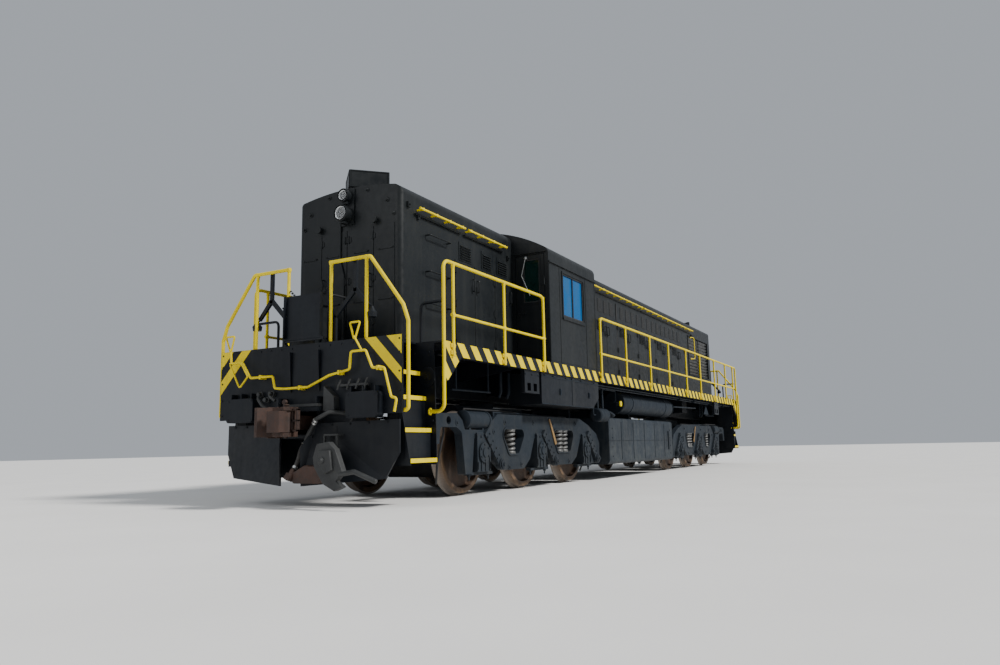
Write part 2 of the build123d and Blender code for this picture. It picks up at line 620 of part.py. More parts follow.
def cab_sides():
    wall = slab((CAB_REAR, CAB_FRONT), (CAB_HALF - CAB_WALL, CAB_HALF), (DECK_TOP, CAB_EAVE))
    window = slab(SIDE_WINDOW_X, (CAB_HALF - CAB_WALL - 5.0, CAB_HALF + 5.0), SIDE_WINDOW_Z)
    mullion_x = (SIDE_WINDOW_X[0] + SIDE_WINDOW_X[1]) / 2
    mullion = slab((mullion_x - MULLION_HALF, mullion_x + MULLION_HALF),
                   (CAB_HALF - CAB_WALL, CAB_HALF - 8.0), SIDE_WINDOW_Z)
    return left_right([wall - window + mullion])


def cab_end(x_low):
    """End wall of the cab, with a door opening on its left and a window on its right."""
    x = (x_low, x_low + CAB_WALL)
    wall = cab_arch(CAB_ROOF_PLATE, x[0], x[1], DECK_TOP)
    through = (x[0] - 5.0, x[1] + 5.0)
    door = slab(through, (DOOR_Y[0], DOOR_Y[1]), (DECK_TOP + DOOR_SILL, DOOR_TOP))
    window = slab(through, (-CAB_END_WINDOW_Y[1], -CAB_END_WINDOW_Y[0]), CAB_END_WINDOW_Z)
    hinges = []
    hinge_x, hinge_y = HINGE_AXIS
    knuckle_x = (hinge_x - HINGE_PIN - 2.0, hinge_x + HINGE_PIN + 4.0)
    strap_y = (DOOR_Y[1] + 1.0, DOOR_Y[1] + 11.0)
    for height in HINGE_HEIGHTS:
        hinges.append(Pos(hinge_x, hinge_y, height) * Cylinder(HINGE_PIN, HINGE_LENGTH + 50.0))
        for z in (height - HINGE_LENGTH / 2 - 14.0, height + HINGE_LENGTH / 2 + 2.0):
            hinges.append(slab((x[1] - 10.0, knuckle_x[1]), strap_y, (z, z + 12.0)))
            hinges.append(slab(knuckle_x, (hinge_y - 8.0, DOOR_Y[1] + 2.0), (z, z + 12.0)))
    return wall - door - window + hinges


def cab_ends():
    front = cab_end(CAB_FRONT - CAB_WALL)
    rear = Pos(CAB_FRONT + CAB_REAR, 0, 0) * Rot(0, 0, 180) * front
    return [front, rear]


def door_leaf():
    """Front cab door, on the left, hinged at its outer edge."""
    x = (CAB_FRONT - CAB_WALL, CAB_FRONT)
    leaf_body = slab(x, (DOOR_Y[0] + DOOR_GAP, DOOR_Y[1] - DOOR_GAP),
                     (DECK_TOP + DOOR_SILL + DOOR_GAP, DOOR_TOP - DOOR_GAP))
    window = slab((x[0] - 5.0, x[1] + 5.0), DOOR_WINDOW_Y, DOOR_WINDOW_Z)
    handle_z = RAIL_TOP + 2500.0
    handle = rod((x[1] - 1.0, DOOR_Y[0] + 60.0, handle_z), (x[1] + 45.0, DOOR_Y[0] + 60.0, handle_z), 12.0)
    lever = rod((x[1] + 38.0, DOOR_Y[0] + 50.0, handle_z), (x[1] + 38.0, DOOR_Y[0] + 170.0, handle_z), 10.0)
    hinge_x, hinge_y = HINGE_AXIS
    straps = []
    bores = []
    for height in HINGE_HEIGHTS:
        straps.append(Pos(hinge_x, hinge_y, height) * Cylinder(HINGE_BARREL, HINGE_LENGTH))
        straps.append(slab((x[1] - 2.0, hinge_x), (hinge_y - 60.0, hinge_y - 4.0),
                           (height - HINGE_LENGTH / 2, height + HINGE_LENGTH / 2)))
        bores.append(Pos(hinge_x, hinge_y, height) * Cylinder(HINGE_PIN + PIN_CLEARANCE, HINGE_LENGTH + 20.0))
    return leaf_body - window + [handle, lever] + straps - bores


def door_pane():
    x = CAB_FRONT - CAB_WALL / 2
    return slab((x - GLASS_THICKNESS / 2, x + GLASS_THICKNESS / 2), DOOR_WINDOW_Y, DOOR_WINDOW_Z)


def to_rear_door(piece):
    """Place of a front door's piece on the rear wall, half a turn round the cab's middle."""
    return Pos(CAB_FRONT + CAB_REAR, 0, 0) * Rot(0, 0, 180) * piece


def cab_glass():
    middle_y = CAB_HALF - CAB_WALL / 2
    y = (middle_y - GLASS_THICKNESS / 2, middle_y + GLASS_THICKNESS / 2)
    mullion_x = (SIDE_WINDOW_X[0] + SIDE_WINDOW_X[1]) / 2
    panes = [
        slab((SIDE_WINDOW_X[0], mullion_x - MULLION_HALF), y, SIDE_WINDOW_Z),
        slab((mullion_x + MULLION_HALF, SIDE_WINDOW_X[1]), y, SIDE_WINDOW_Z),
    ]
    x = CAB_FRONT - CAB_WALL / 2
    end_pane = slab((x - GLASS_THICKNESS / 2, x + GLASS_THICKNESS / 2),
                    (-CAB_END_WINDOW_Y[1], -CAB_END_WINDOW_Y[0]), CAB_END_WINDOW_Z)
    return left_right(panes) + [end_pane, to_rear_door(end_pane)]


def cab_fittings():
    """Control stand by the right front window, and two seats on pedestals."""
    floor = DECK_TOP
    stand = plate_xz([(4280.0, floor), (4560.0, floor), (4560.0, floor + 1150.0), (4400.0, floor + 1150.0),
                      (4280.0, floor + 950.0)], -900.0, -400.0)
    pieces = [stand]
    for y in (-1000.0, 1000.0):
        post = Pos(3700.0, y, floor) * Cylinder(45.0, 430.0, align=(Align.CENTER, Align.CENTER, Align.MIN))
        base = slab((3500.0, 3900.0), (y - 180.0, y + 180.0), (floor + 430.0, floor + 520.0))
        back = slab((3500.0, 3560.0), (y - 180.0, y + 180.0), (floor + 520.0, floor + 900.0))
        pieces.append(post + [base, back])
    return pieces


# Lamps and boards
LAMP_TABLE = [  # height above the rail, barrel radius, length
    (3665.0, 75.0, 110.0),
    (3430.0, 95.0, 150.0),
]
LENS_DEPTH = 12.0
MARKER_PLACES = [(430.0, 3300.0)]


def headlights():
    """Barrels with a rim round a recessed lens, and the small marker lamps."""
    pieces = []
    for height, radius, length in LAMP_TABLE:
        barrel = Cylinder(radius, length, align=(Align.CENTER, Align.CENTER, Align.MIN))
        recess = Cylinder(radius - 10.0, 50.0, align=(Align.CENTER, Align.CENTER, Align.MIN))
        recess = Pos(0, 0, length - LENS_DEPTH - 10.0) * recess
        pieces.append(Pos(HOOD_END, 0, RAIL_TOP + height) * Rot(0, 90, 0) * (barrel - recess))
    for y, height in MARKER_PLACES:
        body = Cylinder(38.0, 50.0, align=(Align.CENTER, Align.CENTER, Align.MIN))
        pieces += left_right([Pos(HOOD_END, y, RAIL_TOP + height) * Rot(0, 90, 0) * body])
    return pieces + turned(pieces)


def lamp_lenses():
    pieces = []
    for height, radius, length in LAMP_TABLE:
        lens = Cylinder(radius - 10.3, LENS_DEPTH, align=(Align.CENTER, Align.CENTER, Align.MIN))
        x = HOOD_END + length - LENS_DEPTH - 10.0
        pieces.append(Pos(x, 0, RAIL_TOP + height) * Rot(0, 90, 0) * lens)
    return pieces + turned(pieces)


BOARD_LENGTH = 500.0
BOARD_HEIGHT = 220.0
BOARD_THICKNESS = 60.0
BOARD_FOOT = HOOD_CROWN + 40.0
BOARD_APEX = HOOD_END - 20.0
BOARD_ANGLE = 45.0


def number_board():
    """Two blank boards that meet in a V on the roof, on a post at each."""
    reach = BOARD_LENGTH * cos(radians(BOARD_ANGLE))
    inset = BOARD_THICKNESS / cos(radians(BOARD_ANGLE))
    end_x = BOARD_APEX - reach
    outline = [(BOARD_APEX, 0), (end_x, reach), (end_x - inset / 2, reach - inset / 2),
               (BOARD_APEX - inset, 0), (end_x - inset / 2, -reach + inset / 2), (end_x, -reach)]
    boards = plate_xy(outline, BOARD_FOOT, BOARD_FOOT + BOARD_HEIGHT)
    posts = []
    for y in (-reach * 0.7, 0.0, reach * 0.7):
        x = BOARD_APEX - abs(y) - inset / 2
        foot = roof_height(abs(y) + 15.0)
        posts.append(slab((x - 15.0, x + 15.0), (y - 15.0, y + 15.0), (foot, BOARD_FOOT + 10.0)))
    return seated_on_roof(boards + posts)


def roof_height(y):
    """Height of the hood's roof at a distance from the middle."""
    rise = HOOD_CROWN - HOOD_EAVE
    radius = (HOOD_HALF ** 2 + rise ** 2) / (2 * rise)
    return HOOD_CROWN - radius + sqrt(radius ** 2 - y ** 2)


def number_boards():
    return [number_board()] + turned([number_board()])


# Handrails: side rails from tables of stanchion places, measured along X
SIDE_STANCHIONS_SHORT = [5020.0, 6170.0, 7380.0]
SIDE_STANCHIONS_LONG = [2840.0, 1600.0, 200.0, -1050.0, -2410.0, -3650.0, -5070.0, -6320.0, -7240.0]


def stanchion(x):
    y = SILL_FACE + POST_RADIUS + 0.3
    return rod((x, y, DECK_TOP - SILL_DEPTH), (x, y, SIDE_RAIL_TOP), POST_RADIUS)


def side_rail(places, stair_x):
    """Side rails on their stanchions, with the grab rail that bends down beside the steps.

    The first place is the one by the cab, where the top rail bends down to the sill.
    """
    foot = RAIL_TOP + STAIR_RAIL_FOOT
    first = places[0]
    top = bent_tube([(first, SIDE_RAIL_Y, DECK_TOP - SILL_DEPTH), (first, SIDE_RAIL_Y, SIDE_RAIL_TOP),
                     (stair_x, SIDE_RAIL_Y, SIDE_RAIL_TOP), (stair_x, SIDE_RAIL_Y, foot),
                     (stair_x, TREADS[1][1] + 2.0, foot)], TUBE_RADIUS, TUBE_BEND)
    pieces = [stanchion(x) for x in places[1:]]
    pieces.append(rod((first, SIDE_RAIL_Y, SIDE_RAIL_MID), (places[-1], SIDE_RAIL_Y, SIDE_RAIL_MID),
                      MIDDLE_TUBE_RADIUS))
    return top + pieces


def side_rails():
    stair_x = STEP_BACK + STEP_PLATE + TUBE_RADIUS + 0.3
    return left_right([side_rail(SIDE_STANCHIONS_SHORT, stair_x), side_rail(SIDE_STANCHIONS_LONG, -stair_x)])


def end_rail():
    """Rail across half of an end platform, down beside the steps."""
    x = END_RAIL_X
    points = [(x, 300.0, END_RAIL_TOP), (x, 870.0, END_RAIL_TOP), (x, 1310.0, RAIL_TOP + 2080.0),
              (x, 1375.0, RAIL_TOP + 1900.0), (x, 1375.0, RAIL_TOP + 970.0), (x, 1240.0, RAIL_TOP + 970.0)]
    rail = bent_tube(points, TUBE_RADIUS, 40.0)
    post = rod((x, 320.0, DECK_TOP), (x, 320.0, END_RAIL_TOP), POST_RADIUS)
    outer_post = rod((x, 820.0, DECK_TOP), (x, 820.0, END_RAIL_TOP), POST_RADIUS)
    return rail + [post, outer_post]


def end_rails():
    return front_rear(left_right([end_rail()]))


# Grab rails along the hoods' shoulders, on brackets
ROOF_RAIL_STANDOFF = 90.0
ROOF_RAIL_RADIUS = 14.0
BRACKET_RADIUS = 12.0
BRACKET_PITCH = 400.0
BRACKET_END = 60.0


def roof_rails():
    pieces = []
    y = HOOD_HALF + ROOF_RAIL_STANDOFF
    for x_low, x_high, height in SHORT_HOOD_RAILS + LONG_HOOD_RAILS:
        z = RAIL_TOP + height
        bar = rod((x_low, y, z), (x_high, y, z), ROOF_RAIL_RADIUS)
        bays = round((x_high - x_low) / BRACKET_PITCH)
        pitch = (x_high - x_low - 2 * BRACKET_END) / bays
        places = [x_low + BRACKET_END + index * pitch for index in range(bays + 1)]
        pieces.append(bar + [rod((x, HOOD_HALF, z), (x, y, z), BRACKET_RADIUS) for x in places])
    return left_right(pieces)


# Boxes that stand on the front platform, and the folding steps between its rails
def platform_boxes():
    box = slab((7760.0, 7960.0), (-590.0, -80.0), (DECK_TOP, DECK_TOP + 500.0))
    return [box] + turned([box])


DROP_STEP_HINGE = (8225.0, DECK_TOP + 40.0)
DROP_STEP_HALF = 270.0
DROP_STEP_REACH = 520.0


def drop_step():
    """Folding step plate, stored upright, with its hinge tube along the bottom."""
    x, z = DROP_STEP_HINGE
    plate = slab((x - 4.0, x + 4.0), (-DROP_STEP_HALF, DROP_STEP_HALF), (z, z + DROP_STEP_REACH))
    lip = slab((x, x + 50.0), (DROP_STEP_HALF - 6.0, DROP_STEP_HALF), (z + 30.0, z + DROP_STEP_REACH))
    tube = Pos(x, 0, z) * Rot(90, 0, 0) * Cylinder(14.0, 2 * DROP_STEP_HALF)
    bore = Pos(x, 0, z) * Rot(90, 0, 0) * Cylinder(8.3, 2 * DROP_STEP_HALF + 10.0)
    return plate + left_right([lip]) + tube - bore


def drop_step_hinge():
    """Pin and its two lugs on the end sheet's top."""
    x, z = DROP_STEP_HINGE
    pin = Pos(x, 0, z) * Rot(90, 0, 0) * Cylinder(8.0, 2 * DROP_STEP_HALF + 60.0)
    lug = plate_xz([(END_SHEET_FACE - 25.0, DECK_TOP - 5.0), (END_SHEET_FACE + 5.0, DECK_TOP - 5.0),
                    (x + 18.0, z - 10.0), (x + 18.0, z + 18.0), (x - 18.0, z + 18.0)],
                   DROP_STEP_HALF + 6.0, DROP_STEP_HALF + 26.0)
    return pin + left_right([lug])


# Uncoupling lever across each end sheet, each row: Y, Z
LEVER_X = END_SHEET_FACE + 75.0
LEVER_RADIUS = 14.0
LEVER_BEND = 30.0
LEVER_ROUTE = [
    (-1100.0, 1790.0), (-1080.0, 1628.0), (-890.0, 1618.0), (-760.0, 1440.0), (-410.0, 1440.0),
    (-375.0, 1300.0), (-220.0, 1288.0), (120.0, 1288.0), (420.0, 1400.0), (700.0, 1445.0), (718.0, 1638.0),
    (915.0, 1638.0),
    (1005.0, 1445.0), (1160.0, 1438.0), (1250.0, 1130.0), (1320.0, 1115.0), (1290.0, 978.0),
]
# Triangular handles, each row: Y of the stem's foot, its Z, Y of the apex, Y of the two upper corners
LEVER_HANDLES = [(-1100.0, 1780.0, -1100.0, -1185.0, -1040.0), (870.0, 1628.0, 765.0, 700.0, 838.0)]
HANDLE_APEX = 1790.0
HANDLE_TOP = 1950.0
HANDLE_RADIUS = 11.0
HANDLE_BEND = 14.0
HANDLE_SPREAD = 14.0
LEVER_BRACKETS = [(-600.0, 1440.0), (0.0, 1288.0), (560.0, 1422.0), (1080.0, 1441.0)]
LEVER_BRACKET_HALF = (12.0, 24.0)


def lever_handle(foot_y, foot_z, apex_y, left_y, right_y):
    """Triangular loop on a stem."""
    corners = [(apex_y - HANDLE_SPREAD, HANDLE_APEX), (left_y, HANDLE_TOP), (right_y, HANDLE_TOP),
               (apex_y + HANDLE_SPREAD, HANDLE_APEX)]
    loop = bent_tube([(LEVER_X, y, z) for y, z in corners], HANDLE_RADIUS, HANDLE_BEND)
    knot = Pos(LEVER_X, apex_y, HANDLE_APEX - 4.0) * Sphere(HANDLE_SPREAD + 7.0)
    stem = rod((LEVER_X, foot_y, foot_z), (LEVER_X, apex_y, HANDLE_APEX - 4.0), HANDLE_RADIUS)
    return loop + [knot, stem]


def cut_lever():
    lever = bent_tube([(LEVER_X, y, z) for y, z in LEVER_ROUTE], LEVER_RADIUS, LEVER_BEND)
    half_width, half_height = LEVER_BRACKET_HALF
    brackets = [slab((END_SHEET_FACE, LEVER_X + 16.0), (y - half_width, y + half_width),
                     (z - half_height, z + half_height)) for y, z in LEVER_BRACKETS]
    return lever + brackets + [lever_handle(*row) for row in LEVER_HANDLES]


def cut_levers():
    return [cut_lever()] + turned([cut_lever()])


# Roof equipment of the long hood
def exhaust_stack():
    outer = Box(STACK_SIZE[0], STACK_SIZE[1], 120.0, align=(Align.CENTER, Align.CENTER, Align.MIN))
    inner = Pos(0, 0, -5.0) * Box(STACK_SIZE[0] - 60.0, STACK_SIZE[1] - 60.0, 150.0,
                                  align=(Align.CENTER, Align.CENTER, Align.MIN))
    return seated_on_roof(Pos(STACK_X, 0, HOOD_CROWN - 6.0) * (outer - inner))


FAN_HEIGHT = HOOD_CROWN - 110.0
FAN_HUB = 110.0
FAN_HUB_DEPTH = 90.0
FAN_BLADES = 6


def radiator_fan():
    hub = Pos(FAN_X, 0, FAN_HEIGHT) * Cylinder(FAN_HUB, FAN_HUB_DEPTH)
    blades = []
    blade = Rot(35, 0, 0) * Box(FAN_RADIUS - FAN_HUB, 150.0, 8.0)
    blade = Pos((FAN_RADIUS + FAN_HUB) / 2 - 10.0, 0, 0) * blade
    for index in range(FAN_BLADES):
        blades.append(Pos(FAN_X, 0, FAN_HEIGHT) * Rot(0, 0, index * 360.0 / FAN_BLADES) * blade)
    return hub + blades


def fan_drive():
    """Shroud under the roof opening, with a spider that carries the fan's drive."""
    shroud = Cylinder(FAN_OPENING + 20.0, 300.0) - Cylinder(FAN_OPENING - 10.0, 400.0)
    shroud = Pos(FAN_X, 0, HOOD_CROWN - 152.0) * shroud
    arm_z = HOOD_CROWN - 280.0
    post_top = FAN_HEIGHT - FAN_HUB_DEPTH / 2 - 0.3
    post = Pos(FAN_X, 0, (arm_z + post_top) / 2) * Cylinder(70.0, post_top - arm_z)
    arm = Box(2 * FAN_OPENING + 10.0, 60.0, 30.0)
    arms = [Pos(FAN_X, 0, arm_z) * Rot(0, 0, angle) * arm for angle in (0, 90)]
    return [shroud + post + arms]


def fan_grille():
    """Flat guard over the fan: rings and spokes."""
    z = HOOD_CROWN + 4.0
    rings = []
    for radius in (180.0, 300.0, 420.0, 560.0):
        ring = Cylinder(radius + 6.0, 12.0) - Cylinder(radius - 6.0, 20.0)
        rings.append(ring)
    rim = Cylinder(FAN_OPENING + 30.0, 12.0) - Cylinder(FAN_OPENING - 2.0, 20.0)
    hub = Cylinder(70.0, 12.0)
    spokes = [Rot(0, 0, angle) * Box(2 * FAN_OPENING, 12.0, 10.0) for angle in (0, 45, 90, 135)]
    return seated_on_roof(Pos(FAN_X, 0, z) * (hub + rings + [rim] + spokes))


def horn():
    """Two trumpets on a foot on the long hood's roof, on the right."""
    x = 2500.0
    y = -350.0
    z = roof_height(y) + 95.0
    trumpets = []
    for offset_y, length in ((-45.0, 420.0), (45.0, 340.0)):
        cone = Cone(22.0, 62.0, length, align=(Align.CENTER, Align.CENTER, Align.MIN))
        trumpets.append(Pos(x, y + offset_y, z) * Rot(0, -90, 0) * cone)
    foot = slab((x - 60.0, x + 20.0), (y - 75.0, y + 75.0), (roof_height(y - 75.0), z + 10.0))
    return seated_on_roof(foot + trumpets)


# Tanks and boxes under the frame
TANK_X = (-1800.0, 2050.0)
TANK_HALF = 1220.0
TANK_Z = (RAIL_TOP + 235.0, RAIL_TOP + 1040.0)
TANK_ROUND = 60.0
HANGER_PLACES = (-1500.0, -300.0, 600.0, 1750.0)


def fuel_tank():
    tank = slab(TANK_X, (-TANK_HALF, TANK_HALF), TANK_Z)
    tank = fillet(tank.edges().filter_by(Axis.X), TANK_ROUND)
    hangers = []
    hanger_z = (TANK_Z[1] - 5.0, DECK_TOP - CENTRE_SILL_DEPTH - CENTRE_SILL_WEB)
    for x in HANGER_PLACES:
        hangers.append(slab((x - 40.0, x + 40.0), (-CENTRE_SILL_HALF, CENTRE_SILL_HALF), hanger_z))
    return tank + hangers


RESERVOIR_X = (-2000.0, 1300.0)
RESERVOIR_RADIUS = 200.0
RESERVOIR_CENTRE = (1040.0, RAIL_TOP + 1335.0)
RESERVOIR_DOME = 70.0
STRAP_PLACES = (-1400.0, 700.0)


def air_reservoir():
    y, z = RESERVOIR_CENTRE
    length = RESERVOIR_X[1] - RESERVOIR_X[0]
    radius = RESERVOIR_RADIUS
    flat = length / 2 - RESERVOIR_DOME
    shell = Cylinder(radius, 2 * flat)
    shell = fillet(shell.edges().filter_by(GeomType.CIRCLE), RESERVOIR_DOME)
    shell = Pos((RESERVOIR_X[0] + RESERVOIR_X[1]) / 2, y, z) * Rot(0, 90, 0) * shell
    straps = []
    for x in STRAP_PLACES:
        ring = Cylinder(radius + 8.0, 60.0) - Cylinder(radius - 2.0, 70.0)
        straps.append(Pos(x, y, z) * Rot(0, 90, 0) * ring)
        hanger_z = (z + radius - 5.0, DECK_TOP - DECK_PLATE)
        straps.append(slab((x - 30.0, x + 30.0), (y - 20.0, y + 20.0), hanger_z))
    return shell + straps


# Small round reservoir between the tank and the front truck
SMALL_RESERVOIR_X = (2150.0, 2560.0)
SMALL_RESERVOIR_RADIUS = 115.0
SMALL_RESERVOIR_CENTRE = (1200.0, RAIL_TOP + 1070.0)
SMALL_RESERVOIR_EDGE = 30.0


def small_reservoir():
    y, z = SMALL_RESERVOIR_CENTRE
    radius = SMALL_RESERVOIR_RADIUS
    x_low, x_high = SMALL_RESERVOIR_X
    shell = Cylinder(radius, x_high - x_low)
    shell = fillet(shell.edges().filter_by(GeomType.CIRCLE), SMALL_RESERVOIR_EDGE)
    shell = Pos((x_low + x_high) / 2, y, z) * Rot(0, 90, 0) * shell
    hangers = [slab((x - 20.0, x + 20.0), (y - 15.0, y + 15.0), (z + radius - 8.0, DECK_TOP - DECK_PLATE))
               for x in (x_low + 90.0, x_high - 90.0)]
    return shell + hangers


def air_reservoirs():
    return left_right([air_reservoir(), small_reservoir()])


BATTERY_X = (2890.0, 5030.0)
BATTERY_Y = (880.0, 1395.0)
BATTERY_Z = (RAIL_TOP + 1150.0, DECK_TOP - SILL_DEPTH)


def battery_boxes():
    x_low, x_high = BATTERY_X
    low, high = BATTERY_Z
    outline = [(x_low, high), (x_low, low + 170.0), (x_low + 250.0, low), (x_high, low), (x_high, high)]
    box = plate_xz(outline, *BATTERY_Y)
    return left_right([box])


# Trucks: cast side frames with pedestals, boxes and springs, around three axles
FRAME_Y = (990.0, 1100.0)
FRAME_LIP = 14.0
LIP_WIDTH = 26.0
FRAME_DIP = 790.0
BOX_HALF = 165.0
BOX_Z = (RAIL_TOP + 270.0, RAIL_TOP + 740.0)
BOX_Y = (930.0, 1125.0)
BOX_RIB = 22.0
BOX_RIB_PROUD = 12.0
BOX_CAP_HEIGHT = 40.0
COVER_RADIUS = 125.0
COVER_PROUD = 25.0
ARCH_HOLE = (2440.0, 895.0, 48.0)
# Outline of a left side frame, each row: X from the truck's middle towards its end, height above the rail,
# radius of the corner
FRAME_OUTLINE = [
    (2780.0, 620.0, 15.0), (2780.0, 900.0, 60.0), (2700.0, 975.0, 40.0), (2250.0, 985.0, 60.0),
    (2130.0, 900.0, 50.0), (2075.0, FRAME_DIP, 15.0), (1520.0, FRAME_DIP, 40.0), (1420.0, 900.0, 50.0),
    (1250.0, 1000.0, 60.0), (-1480.0, 1000.0, 80.0), (-1850.0, 900.0, 90.0), (-2200.0, 760.0, 70.0),
    (-2330.0, 600.0, 70.0), (-2290.0, 270.0, 20.0), (-1900.0, 270.0, 20.0), (-1858.0, 690.0, 8.0),
    (-1502.0, 690.0, 30.0), (-1330.0, 400.0, 60.0), (-1120.0, 285.0, 110.0), (-540.0, 285.0, 110.0),
    (-330.0, 400.0, 60.0), (-178.0, 690.0, 8.0), (178.0, 690.0, 30.0), (330.0, 400.0, 60.0),
    (520.0, 270.0, 110.0), (1080.0, 270.0, 110.0), (1300.0, 400.0, 60.0), (1502.0, 690.0, 8.0),
    (1858.0, 690.0, 8.0),
    (1915.0, 250.0, 10.0), (2075.0, 250.0, 20.0), (2150.0, 760.0, 70.0), (2260.0, 815.0, 50.0),
    (2620.0, 820.0, 60.0), (2640.0, 620.0, 15.0),
]
# Windows in a side frame, each row: X low, X high, height low, height high, half width at the bottom
FRAME_WINDOWS = [(460.0, 1180.0, 480.0, 805.0, 130.0), (-1240.0, -420.0, 480.0, 805.0, 225.0)]
WINDOW_CORNER = 75.0
TRANSOM_PLACES = (-840.0, 840.0)
TRANSOM_HALF = 150.0
TRANSOM_Z = (RAIL_TOP + 815.0, RAIL_TOP + 980.0)
BOWL_RADIUS = 290.0
CARRIER_HALF = 300.0
# Bolted links beside the axle boxes: X from the axle and height above the rail, top then foot
LINK_TOP = (-55.0, 770.0)
LINK_FOOT = (-430.0, 350.0)
LINK_HALF = 55.0
LINK_PROUD = 48.0


def rounded_xz(rows, y_low, y_high):
    """Plate between two Y values whose outline has its own radius at each corner."""
    radii = [radius for x, z, radius in rows]
    line = FilletPolyline(*[(x, z) for x, z, radius in rows], radius=radii, close=True)
    face = make_face(Plane.XZ * line)
    return Pos(0, y_low, 0) * extrude(face, amount=y_high - y_low, dir=(0, 1, 0))


def truck_window(row, grow):
    """Outline of one window, made larger all round for its lip."""
    x_low, x_high, z_low, z_high, foot_half = row
    middle = TRUCK_CENTRE + (x_low + x_high) / 2
    return [(TRUCK_CENTRE + x_low - grow, RAIL_TOP + z_high + grow, WINDOW_CORNER + grow),
            (TRUCK_CENTRE + x_high + grow, RAIL_TOP + z_high + grow, WINDOW_CORNER + grow),
            (middle + foot_half + 0.6 * grow, RAIL_TOP + z_low - grow, WINDOW_CORNER + grow),
            (middle - foot_half - 0.6 * grow, RAIL_TOP + z_low - grow, WINDOW_CORNER + grow)]


def side_frame():
    """Cast left side frame with its round arch hole, and windows whose edges stand out in a lip."""
    rows = [(TRUCK_CENTRE + x, RAIL_TOP + z, radius) for x, z, radius in FRAME_OUTLINE]
    side = rounded_xz(rows, *FRAME_Y)
    face = FRAME_Y[1]
    for row in FRAME_WINDOWS:
        side = side + rounded_xz(truck_window(row, LIP_WIDTH), face - 5.0, face + FRAME_LIP)
        side = side - rounded_xz(truck_window(row, 0.0), FRAME_Y[0] - 5.0, face + FRAME_LIP + 5.0)
    hole_x, hole_z, hole_radius = ARCH_HOLE
    hole = Pos(TRUCK_CENTRE + hole_x, (FRAME_Y[0] + face) / 2, RAIL_TOP + hole_z) * Rot(90, 0, 0) * Cylinder(
        hole_radius, 2 * (face - FRAME_Y[0]))
    return side - hole


def axle_box(x):
    """Journal box on the left: ribbed case, sloping cap and the round end cover."""
    body = slab((x - BOX_HALF, x + BOX_HALF), BOX_Y, BOX_Z)
    outer = BOX_Y[1]
    top = BOX_Z[1]
    cap = plate_yz([(BOX_Y[0], top - 5.0), (outer, top - 5.0), (outer - 40.0, top + BOX_CAP_HEIGHT),
                    (BOX_Y[0], top + BOX_CAP_HEIGHT)], x - BOX_HALF + 30.0, x + BOX_HALF - 30.0)
    ribs = [slab((rib_x, rib_x + BOX_RIB), (outer - 2.0, outer + BOX_RIB_PROUD), (BOX_Z[0] + 30.0, top - 5.0))
            for rib_x in (x - BOX_HALF, x + BOX_HALF - BOX_RIB)]
    turned_out = Pos(x, outer, AXLE_HEIGHT) * Rot(90, 0, 0)
    cover = turned_out * Pos(0, 0, 1.0 - COVER_PROUD / 2) * Cylinder(COVER_RADIUS, COVER_PROUD + 2.0)
    boss = turned_out * Pos(0, 0, -COVER_PROUD - 6.0) * Cylinder(0.45 * COVER_RADIUS, 14.0)
    return body + [cap, cover, boss] + ribs


def box_link(x):
    """Slanting bolted link from the frame's top to the foot of a lobe, with a pin block at its foot."""
    y = (FRAME_Y[1] - 5.0, FRAME_Y[1] + LINK_PROUD)
    top = Vector(x + LINK_TOP[0], RAIL_TOP + LINK_TOP[1])
    foot = Vector(x + LINK_FOOT[0], RAIL_TOP + LINK_FOOT[1])
    across = Vector(-(foot - top).Y, (foot - top).X).normalized() * LINK_HALF
    bar = plate_xz([(p.X, p.Y) for p in (top + across, foot + across, foot - across, top - across)], *y)
    block = Rot(90, 0, 0) * Cylinder(LINK_HALF + 15.0, y[1] - y[0] + 16.0)
    return bar + Pos(foot.X, sum(y) / 2 + 8.0, foot.Y) * block


def truck_frame():
    """Frame of the front truck: two side frames, transoms, the centre bearing and the axle boxes."""
    axles = [TRUCK_CENTRE + index * AXLE_SPACING for index in (-1, 0, 1)]
    pieces = [axle_box(x) for x in axles] + [box_link(x) for x in axles]
    bore = Rot(90, 0, 0) * Cylinder(JOURNAL_RADIUS + JOURNAL_CLEARANCE, 2 * (JOURNAL_END + 10.0))
    bores = [Pos(x, 0, AXLE_HEIGHT) * bore for x in axles]
    half = (side_frame() + pieces) - bores
    pieces = [mirror(half, about=Plane.XZ)]
    for x_rel in TRANSOM_PLACES:
        x = TRUCK_CENTRE + x_rel
        transom_y = (-FRAME_Y[0] - 5.0, FRAME_Y[0] + 5.0)
        pieces.append(slab((x - TRANSOM_HALF, x + TRANSOM_HALF), transom_y, TRANSOM_Z))
    carrier_top = centre_plate_low() - SEAT_GAP
    carrier_half = TRANSOM_PLACES[1] + TRANSOM_HALF
    pieces.append(slab((TRUCK_CENTRE - carrier_half, TRUCK_CENTRE + carrier_half),
                       (-CARRIER_HALF, CARRIER_HALF), (TRANSOM_Z[1] - 5.0, carrier_top - 60.0)))
    bowl = Cylinder(BOWL_RADIUS, 120.0, align=(Align.CENTER, Align.CENTER, Align.MAX))
    pieces.append(Pos(TRUCK_CENTRE, 0, carrier_top) * bowl)
    return half + pieces


# Springs in the side frames' windows, each row: X from the truck's middle
SPRING_PLACES = (830.0, -735.0, -925.0)
SPRING_RADIUS = 85.0
SPRING_CORE = 58.0
SPRING_TURNS = 5


